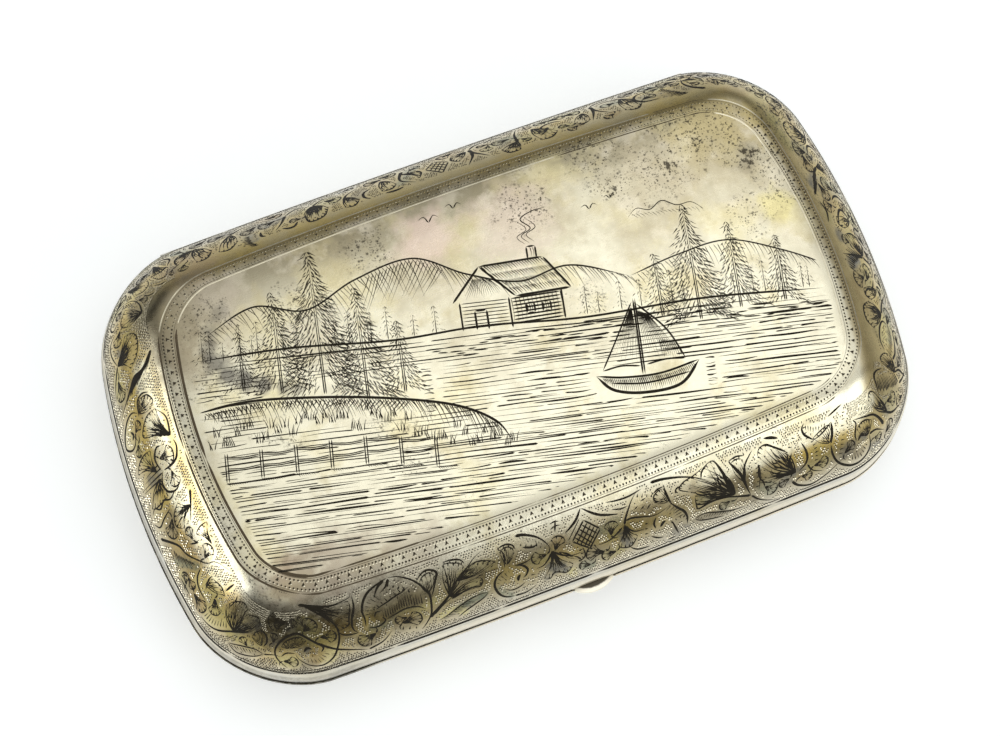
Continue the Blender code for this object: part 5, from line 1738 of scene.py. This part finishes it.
def hut(p):
    """Log hut with a shingled roof and a smoking chimney"""
    eaves, peak = 5.4, 10.2
    right_eaves, right_peak = (8.8, eaves + 0.3), (5.6, peak + 0.3)
    walls = [[(-6.5, 1.4), (-6.5, eaves)], [(0.2, 1.0), (0.2, eaves)], [(7.4, 1.4), (7.4, eaves + 0.4)]]
    p.lines(walls, 0.26)
    p.line([(-7.4, eaves), (-3.2, peak)], 0.32, "even")
    p.line([(-3.2, peak), (1.2, eaves)], 0.30, "even")
    p.line([(-3.2, peak), right_peak], 0.30, "even")
    p.line([right_peak, right_eaves], 0.32, "even")
    p.line([(1.2, eaves), right_eaves], 0.34, "even")
    for high, width in ((0.0, 0.2), (0.24, 0.18), (0.48, 0.18), (0.72, 0.18)):
        upper, lower = (
            [(-3.0 + 4.2 * share, peak - 4.8 * share), (5.6 + 3.2 * share, peak + 0.3 - 4.8 * share)]
            for share in (high, min(1, high + 0.27))
        )
        p.hatch(lower, upper, 0.34, width, 0.0, (0.7, 1.0))
    for level in np.arange(1.7, eaves, 0.5):
        p.line([(-6.4, level), (0.1, level - 0.1)], 0.13, "even")
        p.line([(0.4, level - 0.1), (7.3, level + 0.1)], 0.24, "even")
    p.hatch([(0.5, 1.2), (7.2, 1.5)], [(0.5, 5.2), (7.2, 5.5)], 0.5, 0.10, 0.0, (0.9, 1.0))
    p.hatch([(-6, 5.6), (-0.4, 5.6)], [(-4.2, 8.6), (-2.4, 8.6)], 0.34, 0.12, 0.0, (0.8, 1.0))
    p.lines([[(-4.6, 1.3), (-4.6, 4)], [(-3, 1.2), (-3, 4)], [(-4.6, 4), (-3, 4)]], 0.3)
    for s in (2.4, 4.6):
        p.closed([(s, 2.8), (s + 1.1, 2.8), (s + 1.1, 4.2), (s, 4.2)], 0.26)
        p.hatch([(s + 0.1, 2.9), (s + 1, 2.9)], [(s + 0.1, 4.1), (s + 1, 4.1)], 0.22, 0.2, 0.0, (0.9, 1.0))
    chimney = [(3.6, peak + 0.2), (3.6, peak + 2), (4.8, peak + 2), (4.8, peak + 0.2)]
    p.lines(zip(chimney, chimney[1:]), 0.26)
    foot = [(4.1, peak + 0.3), (4.8, peak + 0.3)]
    p.hatch(foot, [(4.1, peak + 1.9), (4.8, peak + 1.9)], 0.2, 0.16, 0.0, (0.9, 1.0))
    smoke = [(4.2, 12.6), (3.2, 13.8), (4.6, 14.8), (3.4, 16.2), (5, 17.2), (7.2, 17.6)]
    for shift, width in ((0, 0.16), (0.7, 0.12), (-0.6, 0.11)):
        p.line([(s + shift, t + 0.2 * shift) for s, t in smoke[: 6 if not shift else 4]], width)


def water_and_ground(p):
    """Hatching all over the lower half, and reflections of the far bank"""
    holes = [(9.5, 25, -10.6, -6.2), (-34, -13, -9.5, -3.0)]
    p.water(-44, 44, -31.8, 0.9, 0.60, 0.17, holes)
    p.water(-2, 44, -17, -0.5, 1.0, 0.22, holes)
    p.water(-44, 16, -31.8, -13.0, 1.1, 0.25)
    for s in np.arange(-12, 42, 0.8):
        t = 0.3 - rng.uniform(0, 2.4)
        p.line([(s, t), (s + rng.uniform(1.2, 3.4), t + rng.uniform(-0.1, 0.1))], 0.20)


TALL_FIRS = [
    (-26, -4.4, 20.5), (-20.4, -6, 16.0), (-31.6, -3.4, 14.2), (-15.4, -5.6, 10.0), (-36.6, -2.6, 8.2),
    (25.5, -0.8, 16.8), (31.2, 0.2, 12.4), (20.4, 0.2, 9.0), (37.4, 0.4, 9.4),
]


def tall_firs(p):
    for s, t, height in TALL_FIRS:
        p.fir(s, t, height)
        p.fir(s + 0.25, t, height * 0.97, 0.15)


def near_bank(p):
    """The near bank, its shaded edge and tufts of grass"""
    bank = [(-44, -5.2), (-36, -4.4), (-26, -5.2), (-17, -6.6), (-9, -8.6), (-4, -11.4), (-2, -14.6)]
    p.line(bank, 0.36, "even")
    foot = [(-42, -8), (-34, -8), (-24, -9), (-15, -10.5), (-8, -13), (-4, -16)]
    edge = [(-42, -5.2), (-34, -4.6), (-24, -5.6), (-15, -7), (-8, -9), (-4, -11.6)]
    p.hatch(foot, edge, 0.34, 0.16, 0.9, (0.35, 1.0))
    foot = [(-41, -7), (-33, -6.6), (-24, -7.6), (-16, -8.8)]
    p.hatch(foot, [(-42, -5.4), (-34, -4.8), (-24, -5.8), (-15, -7.2)], 0.5, 0.2, -0.8, (0.5, 1.0))
    for s in np.arange(-42, -2, 0.9):
        base = -9.0 - max(0, (s + 20)) * 0.36 + rng.uniform(-1.6, 1.2)
        for k in range(4):
            lean, root = rng.uniform(-0.8, 0.8), s + 0.25 * k
            p.line([(root, base), (root + lean * 0.4, base + 0.9), (root + lean, base + 1.7)], 0.17, "start")


def fence(p):
    """Split-rail fence: double lines for the posts and for two rails"""
    pitch, count = 4.6, 7
    for k in range(count):
        s = -40 + k * pitch
        t = -12.4 - max(0, (s + 22)) * 0.16
        for shift in (-0.16, 0.16):
            p.line([(s + shift, t - 2.6), (s + 0.15 + shift, t + 1.4)], 0.16, "even")
        p.line([(s - 0.16, t + 1.4), (s + 0.3, t + 1.4)], 0.16, "even")
        for shift in (0.0, 0.22) if k < count - 1 else ():
            for start, middle, end in ((0.7, 0.4, 0.5), (-0.9, -1.1, -0.9)):
                rail = [(s, t + start + shift), (s + 2.3, t + middle + shift), (s + pitch, t + end + shift)]
                p.line(rail, 0.15, "even")
        foot = [(s - 0.2, t - 3.2), (s + 2.4, t - 3.0)]
        p.hatch(foot, [(s - 0.2, t - 2.5), (s + 2.2, t - 2.7)], 0.25, 0.18, 0.5, (0.8, 1.0))


def boat(p):
    """Sailing boat: hull, mast, and two sails"""
    p.line([(10.2, -7.2), (12.4, -9.4), (16.6, -10.2), (21.4, -9.6), (24.4, -6.6)], 0.42, "even")
    p.line([(10.2, -7.2), (14, -7.8), (19, -7.8), (24.4, -6.6)], 0.3, "even")
    keel = [(11.2, -8.4), (13, -9.7), (16.6, -10.1), (20.4, -9.8), (23.4, -7.8)]
    p.hatch(keel, [(11, -7.5), (14, -7.9), (17, -7.9), (20, -7.8), (23.4, -6.9)], 0.26, 0.2, 0.2, (0.85, 1.0))
    p.line([(12, -8.4), (17, -8.9), (23, -8.1)], 0.24, "even")
    p.line([(16.5, -7.8), (16.8, 3.0)], 0.26, "even")
    p.line([(16.8, -7.8), (17.05, 3.0)], 0.22, "even")
    p.line([(16.6, 2.6), (13.6, -2.6), (11.2, -6.6)], 0.22, "even")
    p.line([(11.2, -6.6), (13.8, -6.2), (16.4, -6.5)], 0.24, "even")
    p.hatch([(11.8, -6.2), (16.3, -6.4)], [(16.2, 1.6), (16.4, 1.8)], 0.32, 0.12, 0.0, (0.6, 1.0))
    p.line([(17.1, 2.2), (20.6, -1.8), (22.6, -6.2)], 0.26, "even")
    p.line([(17.2, -6.4), (20, -6), (22.6, -6.2)], 0.24, "even")
    p.hatch([(17.3, -6.2), (22.2, -6)], [(17.1, 1.4), (18.4, 0.6)], 0.34, 0.13, 0.0, (0.7, 1.0))
    p.hatch([(19.5, -6.1), (22.2, -6.1)], [(19.4, -3), (21.4, -3.4)], 0.26, 0.16, 0.0, (0.8, 1.0))


def birds_and_clouds(p):
    birds = ((-9, 17.4, 1.5), (-5.4, 19, 1.2), (-12.8, 19.2, 1.1), (13, 16.4, 1.2), (16, 17.6, 0.9))
    for s, t, size in birds:
        p.line([(s - size, t + 0.3 * size), (s - 0.4 * size, t + 0.6 * size), (s, t)], 0.22, "end")
        p.line([(s, t), (s + 0.5 * size, t + 0.7 * size), (s + size, t + 0.4 * size)], 0.22, "start")
    puffs = [(-5, 0), (-3.6, 1.2), (-1.8, 0.8), (0, 1.9), (2, 1), (4, 1.2), (5.6, 0)]
    for s, t in ((-30, 15.5), (23, 14.5)):
        p.line([(s + along, t + up) for along, up in puffs], 0.14)
        foot, top = [(s - 4, t - 0.7), (s + 5, t - 0.7)], [(s - 4.4, t + 0.5), (s + 5, t + 0.5)]
        p.hatch(foot, top, 0.5, 0.09, 0.6, (0.4, 0.9))


def landscape():
    p = Picture()
    parts = (far_hills, shore, hut, water_and_ground, tall_firs, near_bank, fence, boat, birds_and_clouds)
    for part in parts:
        part(p)
    return p.strokes


# Little palmettes: their lengths, the grid of free places, and the levels between which they lie
LEAF_LENGTHS, LEAF_STEP, LEAF_CELL, LEAF_GRID_TOP = (2.9, 2.3, 1.8), 0.8, 0.2, 14.4
LEAF_FOOT, LEAF_TOP, LEAF_FRAME_MARGIN = 1.9, 12.2, 1.6
# How much of its place may be taken already, on the far side and elsewhere
FAR_SIDE, TAKEN_FAR, TAKEN = (128, 205), 0.06, 0.20


def leaf_cells(q, v):
    """Cells of the leaves' grid at border places"""
    columns, rows = int(PERIMETER / LEAF_CELL), int(LEAF_GRID_TOP / LEAF_CELL)
    i = (np.asarray(q) % PERIMETER / LEAF_CELL).astype(int) % columns
    return i, np.clip((np.asarray(v) / LEAF_CELL).astype(int), 0, rows - 1)


def covered(strokes):
    """The grid, with the cells that strokes and their clearance cover"""
    taken = np.zeros((int(PERIMETER / LEAF_CELL), int(LEAF_GRID_TOP / LEAF_CELL)), bool)
    for path, width in strokes:
        for (q, v), w in zip(path, width):
            reach = w / 2 + 0.25
            around = np.arange(-reach, reach + 0.1, 0.15)
            taken[np.ix_(*leaf_cells(q + around, v + around))] = True
    return taken


def polar(q, v, away, degrees):
    return q + away * math.cos(math.radians(degrees)), v + away * math.sin(math.radians(degrees))


def palmette(q, v, length, angle):
    """Strokes of one little leaf, and the tint of its body"""
    corners = ((-34, 0.86), (-12, 1.0), (12, 1.0), (34, 0.86))
    edge = [polar(q, v, length * share, angle + turn) for turn, share in corners]
    made = fan([(q, v)], edge, 0.34, pitch=0.36)
    made.append(stroke(edge, 0.24))
    tail = angle + 180 + rng.choice((-40, 40))
    bend = [polar(q, v, away, tail + turn) for turn, away in ((0, 0), (0, 0.7), (25, 1.3))]
    made.append(stroke(bend, 0.34, "start"))
    body = polar(q, v, 0.6 * length, angle)
    return made, (rng.choice("ootbbgds"), 0.5 * length, rng.uniform(0.5, 0.8), [(q, v), body])


def small_leaves(strokes):
    """Little palmettes in the gaps between the drawn leaves, and the tints of their bodies"""
    taken = covered(strokes)
    made, tints = [], []
    for length in LEAF_LENGTHS:
        away = np.arange(0.3, length + 0.3, 0.15)
        for q in np.arange(0, PERIMETER, LEAF_STEP):
            q += rng.uniform(-0.3, 0.3)
            v = rng.uniform(2.6, 10.6)
            most = TAKEN_FAR if FAR_SIDE[0] < q < FAR_SIDE[1] else TAKEN
            top = min(LEAF_TOP, border_width(q) - LEAF_FRAME_MARGIN)
            best = None
            for angle in rng.sample(range(-40, 221, 20), 8):
                spread = np.radians(angle + np.linspace(-36, 36, 9))
                fan_v = v + np.outer(away, np.sin(spread))
                if fan_v.min() < LEAF_FOOT or fan_v.max() > top:
                    continue
                cells = leaf_cells(q + np.outer(away, np.cos(spread)), fan_v)
                share = taken[cells].mean()
                if share < most:
                    most, best = share, (angle, cells)
            if best is None:
                continue
            angle, cells = best
            taken[cells] = True
            leaf, tint = palmette(q, v, length, angle)
            made += leaf
            tints.append(tint)
    return made, tints


lines = {
    "scroll_near_left": drawn(NEAR_LEFT),
    "scroll_near_middle": drawn(CARTOUCHE),
    "scroll_near_right": drawn(NEAR_RIGHT),
    "scroll_left": drawn(LEFT),
    "scroll_right": [(path, 1.25 * width) for path, width in drawn(RIGHT)],
    "scroll_far": [(path, 1.5 * width) for path, width in drawn(FAR)],
}
lines["small_leaves"], leaf_tints = small_leaves(sum(lines.values(), []))
border = sum(lines.values(), [])
for name, strokes in lines.items():
    engrave(name, border_point, strokes, NIELLO, "lid")
    engrave("base_" + name, base_point, strokes, NIELLO, "base")
engrave("rim_lines", border_point, rim_strokes(), NIELLO, "lid")
frame_dark, frame_worn_highlights = frame_strokes()
engrave("frame_lines", panel_point, frame_dark, GROOVE, "lid")
engrave("frame_worn_highlights", panel_point, frame_worn_highlights, BURR, "lid")
frame_marks = frame_punches()
punch("frame_punches", panel_point, frame_marks, GROUND, "lid")
bright_cuts("frame_beads", panel_point, frame_marks, (0.06, -0.20), "lid")
engrave("landscape", panel_point, landscape(), NIELLO, "lid")
# Stretches of the punched ground round the case; on the two nearest ones it has bright ledges
GROUNDS = (("near", -60.0, 60.0), ("right", 60.0, 122.0), ("far", 122.0, 206.0), ("left", -122.2, -60.0))
for side, first, last in GROUNDS:
    marks = ornament_ground(border, first, last)
    punch("ground_" + side, border_point, marks, GROUND, "lid")
    if side in ("near", "left"):
        bright_cuts("cuts_" + side, border_point, marks, (0.0, -0.19), "lid")
    punch("base_ground_" + side, base_point, marks, GROUND, "base")
for shell in (lid_shell, base_shell):
    paint(shell, tint_and_highlight_strokes() + leaf_tints, shell is lid_shell)


# Elastic bands, each folded round the bars of its two staples and sewn to itself
# Distance of a bar's centre from the band's end, and the radius at which the band turns round it
BAND_RIM, EYE_TURN = 1.5, 0.9
# Each layer's height above or below the middle where the band is double
BAND_WIDE, BAND_THICK, BAND_LAYER, RIB_PITCH, WEFT_PITCH = 10.0, 0.36, 0.2, 0.8, 0.5
STITCH_ROWS, STITCH_PITCH, STITCH_REACH = (2.7, 6.4), 1.07, 4.3
# Form of a stitch: places along it and its radius at each
STITCH = [(-0.42, 0.02), (-0.3, 0.11), (0.0, 0.14), (0.3, 0.11), (0.42, 0.02)]


def web_material():
    """Ribbed elastic web: cords along it, a weft across it, a little fuzz"""
    made, tree, shader = new_material("elastic_web")
    n = Nodes(tree)
    place = n.make("ShaderNodeSeparateXYZ", [("Vector", n.place)]).outputs
    cord = n.ramp(n.math("SINE", n.math("MULTIPLY", place["X"], 2 * math.pi / RIB_PITCH)), -1, 1)
    weft = n.ramp(n.math("SINE", n.math("MULTIPLY", place["Y"], 2 * math.pi / WEFT_PITCH)), -1, 1)
    fuzz = n.noise(5.0, 4, 0.7)
    thread = n.mix(cord, colour(0.13, 0.085, 0.045), colour(0.36, 0.26, 0.15))
    thread = n.mix(n.math("MULTIPLY", weft, 0.45), thread, colour(0.20, 0.14, 0.08))
    thread = n.mix(n.ramp(n.noise(0.25), 0.45, 0.75, 0.0, 0.5), thread, colour(0.42, 0.35, 0.24))
    n.put(shader.inputs["Base Color"], n.mix(n.math("MULTIPLY", fuzz, 0.4), thread, colour(0.30, 0.23, 0.15)))
    shader.inputs["Roughness"].default_value = 0.85
    shader.inputs["Sheen Weight"].default_value = 0.3
    height = n.math("ADD", n.math("ADD", cord, n.math("MULTIPLY", weft, 0.6)), n.math("MULTIPLY", fuzz, 0.5))
    bump = n.make("ShaderNodeBump", [("Height", height), ("Strength", 0.7), ("Distance", 0.00008)])
    n.put(shader.inputs["Normal"], bump.outputs[0])
    return made


def tube(path, section, name, material):
    """Closed solid of a flat section carried along a path in the plane x = 0, and the path's length"""
    path = np.asarray(path, float)
    ahead = np.gradient(path, axis=0)
    ahead /= np.linalg.norm(ahead, axis=1, keepdims=True)
    side = np.stack([-ahead[:, 1], ahead[:, 0]], -1)
    run = np.concatenate([[0], np.cumsum(np.hypot(*np.diff(path, axis=0).T))])
    count = len(section)
    points = []
    for (y, z), (side_y, side_z), along in zip(path, side, run):
        swell = 1 + 0.07 * math.cos(2 * math.pi * along / 1.0)
        points.append([(x, y + side_y * h * swell, z + side_z * h * swell) for x, h in section])
    points = np.concatenate(points)
    faces = ring_faces(count, len(path))
    last = (len(path) - 1) * count
    faces += [tuple(range(count))[::-1], tuple(last + i for i in range(count))]
    return to_object(name, points, faces, [material], sharp=50), run[-1]


def route(bar_y, bar_z, up):
    """Centre line of a band round both bars, with its folded ends on the side away from the cover"""
    turns = np.radians(np.linspace(-145, 145, 25))
    eye = [(bar_y + EYE_TURN * math.cos(a), EYE_TURN * math.sin(a)) for a in turns]
    right = [(bar_y - 5, -BAND_LAYER), (bar_y - 2.2, -BAND_LAYER)] + eye
    right += [(bar_y - 2.2, BAND_LAYER), (bar_y - 7.4, BAND_LAYER)]
    left = [(-y, z) for y, z in right[::-1]]
    path, _ = smooth_path(left + right, 0.3)
    return np.stack([path[:, 0], bar_z + up * path[:, 1]], -1)


def band_section():
    """Flat section with ribs, as pairs of x and height"""
    edge = np.linspace(-BAND_WIDE / 2, BAND_WIDE / 2, 61)
    rib = BAND_THICK / 2 - 0.03 + 0.03 * np.cos(2 * math.pi * edge / RIB_PITCH)
    rib[[0, -1]] = 0.08
    return list(zip(edge, -rib)) + list(zip(edge[::-1], rib[::-1]))


def stitches(name, bar_y, bar_z):
    """Rows of stitches across the folds, each stitch a small spindle on either face of the band"""
    sides, count = 6, len(STITCH)
    places = [
        (x, sign * (bar_y - row))
        for sign in (-1, 1)
        for row in STITCH_ROWS
        for x in np.arange(-STITCH_REACH, STITCH_REACH + 0.1, STITCH_PITCH)
    ]
    spindle = ring_faces(sides, count)
    spindle += [tuple(range(sides))[::-1], tuple(range((count - 1) * sides, count * sides))]
    points, faces = [], []
    for x, y in places:
        for face_side in (-1, 1):
            start = len(points)
            level = bar_z + face_side * (BAND_LAYER + BAND_THICK / 2 + 0.02)
            for along, radius in STITCH:
                for a in np.arange(sides) * 2 * math.pi / sides:
                    points.append((x + along, y + radius * math.cos(a), level + radius * math.sin(a)))
            faces += [tuple(start + i for i in face) for face in spindle]
    return to_object(name, points, faces, [THREAD])


def elastic_band(half, up):
    """The band of one half with its stitches; up is -1 for the base"""
    low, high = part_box(half + "_band")
    bar_y, bar_z = high[1] / MM - BAND_RIM, (low[2] + high[2]) / 2 / MM
    band, length = tube(route(bar_y, bar_z, up), band_section(), half + "_elastic", WEB)
    thread = stitches(half + "_band_stitches", bar_y, bar_z)
    for piece in (band, thread):
        bm = bmesh.new()
        bm.from_mesh(piece.data)
        bmesh.ops.recalc_face_normals(bm, faces=bm.faces)
        bm.to_mesh(piece.data)
        bm.free()
        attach(piece, half)
    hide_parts(half + "_band")


WEB = web_material()
THREAD = plain_material("sewing_thread", colour(0.42, 0.33, 0.20), 0.0, 0.8)
elastic_band("lid", 1)
elastic_band("base", -1)


# Floor, lights and camera
# Half the paper's width in metres, and the distances from the case between which the metal sees it fade
PAPER_HALF, PAPER_FADES = 0.28, (12, 95)
# Its tone where it has faded, and the light it gives off to the camera and to the metal
PAPER_FAR, PAPER_LIFT, PAPER_GLOW = 0.22, 0.385, 0.42
# Windows of the room: azimuth and elevation, reach and softness in degrees, strength
WINDOWS = [
    ((-58, 15), 20, 8, 1.5),
    ((-36, 2), 10, 10, 0.4),
    ((170, 3), 12, 5, 3.1),
    ((26, 77), 12, 14, 0.22),
    ((45, 0), 50, 22, 0.20),
]
# Tone of the sky at each height, from straight down at -1 to straight up at 1
SKY = [
    (-1, 0.05), (-0.05, 0.045), (0.06, 0.05), (0.17, 0.10), (0.34, 0.32),
    (0.6, 0.68), (0.86, 0.76), (0.93, 0.80), (0.98, 0.86),
]
KEY_PLACE, KEY_SIZE, KEY_POWER = (0.16, 0.10, 0.62), (0.34, 0.30), 0.12


def floor():
    """White paper that is brightest beside the case; the metal sees it fade with distance"""
    made, tree, shader = new_material("white_table")
    n = Nodes(tree)
    rays = tree.nodes.new("ShaderNodeLightPath").outputs
    seen = n.math("MAXIMUM", rays["Is Glossy Ray"], rays["Is Transmission Ray"])
    beside = n.vector("SUBTRACT", n.vector("ABSOLUTE", n.place, (0, 0, 0)), (HALF_LENGTH, HALF_WIDTH, 0))
    beside = n.vector("MAXIMUM", beside, (0, 0, 0))
    away = n.make("ShaderNodeVectorMath", [(0, beside)], operation="LENGTH").outputs["Value"]
    fading = n.ramp(n.math("POWER", n.ramp(away, *PAPER_FADES), 0.7), 0, 1, 1.0, PAPER_FAR)
    seen_fading = n.math("MULTIPLY", seen, fading)
    shade = n.math("ADD", n.math("SUBTRACT", 1.0, seen), seen_fading)
    n.put(shader.inputs["Base Color"], n.mix(shade, colour(0, 0, 0), colour(0.84, 0.885, 0.91)))
    shader.inputs["Roughness"].default_value = 0.8
    shader.inputs["Specular IOR Level"].default_value = 0.2
    to_camera = n.math("MULTIPLY", rays["Is Camera Ray"], PAPER_LIFT)
    shader.inputs["Emission Color"].default_value = (1, 1, 1, 1)
    glow = n.math("ADD", to_camera, n.math("MULTIPLY", seen_fading, PAPER_GLOW))
    n.put(shader.inputs["Emission Strength"], glow)
    mesh = bpy.data.meshes.new("table")
    corners = [(x * PAPER_HALF, y * PAPER_HALF, 0) for x, y in ((-1, -1), (1, -1), (1, 1), (-1, 1))]
    mesh.from_pydata(corners, [], [(0, 1, 2, 3)])
    mesh.materials.append(made)
    table = bpy.data.objects.new("table", mesh)
    bpy.context.scene.collection.objects.link(table)


def world():
    """Soft light overhead, a few windows, and a dim room at the horizon; white to the camera"""
    made = bpy.data.worlds.new("studio")
    bpy.context.scene.world = made
    made.use_nodes = True
    tree = made.node_tree
    background = tree.nodes["Background"]
    n = Nodes(tree, 1)
    way = tree.nodes.new("ShaderNodeTexCoord").outputs["Generated"]
    split = n.make("ShaderNodeSeparateXYZ", [("Vector", way)])
    tones = tree.nodes.new("ShaderNodeValToRGB")
    tree.links.new(n.ramp(split.outputs["Z"], -1, 1), tones.inputs[0])
    stops = tones.color_ramp.elements
    while len(stops) < len(SKY):
        stops.new(0.5)
    for stop, (level, tone) in zip(stops, SKY):
        stop.position = (level + 1) / 2
        stop.color = (tone, tone * 0.985, tone * 0.95, 1)
    total = tones.outputs[0]
    for (azimuth, elevation), reach, softness, strength in WINDOWS:
        a, e = math.radians(azimuth), math.radians(elevation)
        centre = (math.cos(a) * math.cos(e), math.sin(a) * math.cos(e), math.sin(e))
        dot = n.make("ShaderNodeVectorMath", [(0, way), (1, centre)], operation="DOT_PRODUCT")
        inner, outer = math.cos(math.radians(reach)), math.cos(math.radians(reach + softness))
        glow = n.make(
            "ShaderNodeMapRange",
            [("Value", dot.outputs["Value"]), ("From Min", outer), ("From Max", inner), ("To Max", strength)],
            interpolation_type="SMOOTHSTEP",
        ).outputs[0]
        total = n.mix(1.0, total, glow, "ADD")
    camera_ray = tree.nodes.new("ShaderNodeLightPath").outputs["Is Camera Ray"]
    tree.links.new(n.mix(camera_ray, total, colour(1, 1, 1)), background.inputs["Color"])


def key_light():
    """Wide soft lamp above the far right, aimed at the case"""
    data = bpy.data.lights.new("key", "AREA")
    data.shape = "RECTANGLE"
    data.size, data.size_y = KEY_SIZE
    data.energy = KEY_POWER
    made = bpy.data.objects.new("key", data)
    made.location = KEY_PLACE
    made.rotation_euler = (-Vector(KEY_PLACE)).to_track_quat("-Z", "Y").to_euler()
    bpy.context.scene.collection.objects.link(made)


def camera():
    """Camera at its fitted place, turned by its roll about the line of sight"""
    azimuth, elevation, roll = map(math.radians, (CAMERA_AZIMUTH, CAMERA_ELEVATION, CAMERA_ROLL))
    level = math.cos(elevation)
    back = Vector((math.sin(azimuth) * level, -math.cos(azimuth) * level, math.sin(elevation)))
    right = Vector((0, 0, 1)).cross(back).normalized()
    up = back.cross(right)
    turned = right * math.cos(roll) + up * math.sin(roll)
    upright = back.cross(turned)
    data = bpy.data.cameras.new("camera")
    data.sensor_width = SENSOR_WIDTH
    data.lens = CAMERA_FOCUS_PX / IMAGE_WIDTH * SENSOR_WIDTH
    data.shift_x = -CAMERA_SHIFT_PX[0] / IMAGE_WIDTH
    data.shift_y = CAMERA_SHIFT_PX[1] / IMAGE_WIDTH
    data.clip_start, data.clip_end = 0.01, 10
    made = bpy.data.objects.new("camera", data)
    place = Vector((0, 0, SEAM_Z * MM)) + back * CAMERA_DISTANCE * MM
    rows = [(turned[i], upright[i], back[i], place[i]) for i in range(3)]
    made.matrix_world = Matrix(rows + [(0, 0, 0, 1)])
    bpy.context.scene.collection.objects.link(made)
    bpy.context.scene.camera = made


floor()
world()
key_light()
camera()

bpy.context.scene.view_settings.view_transform = "Standard"
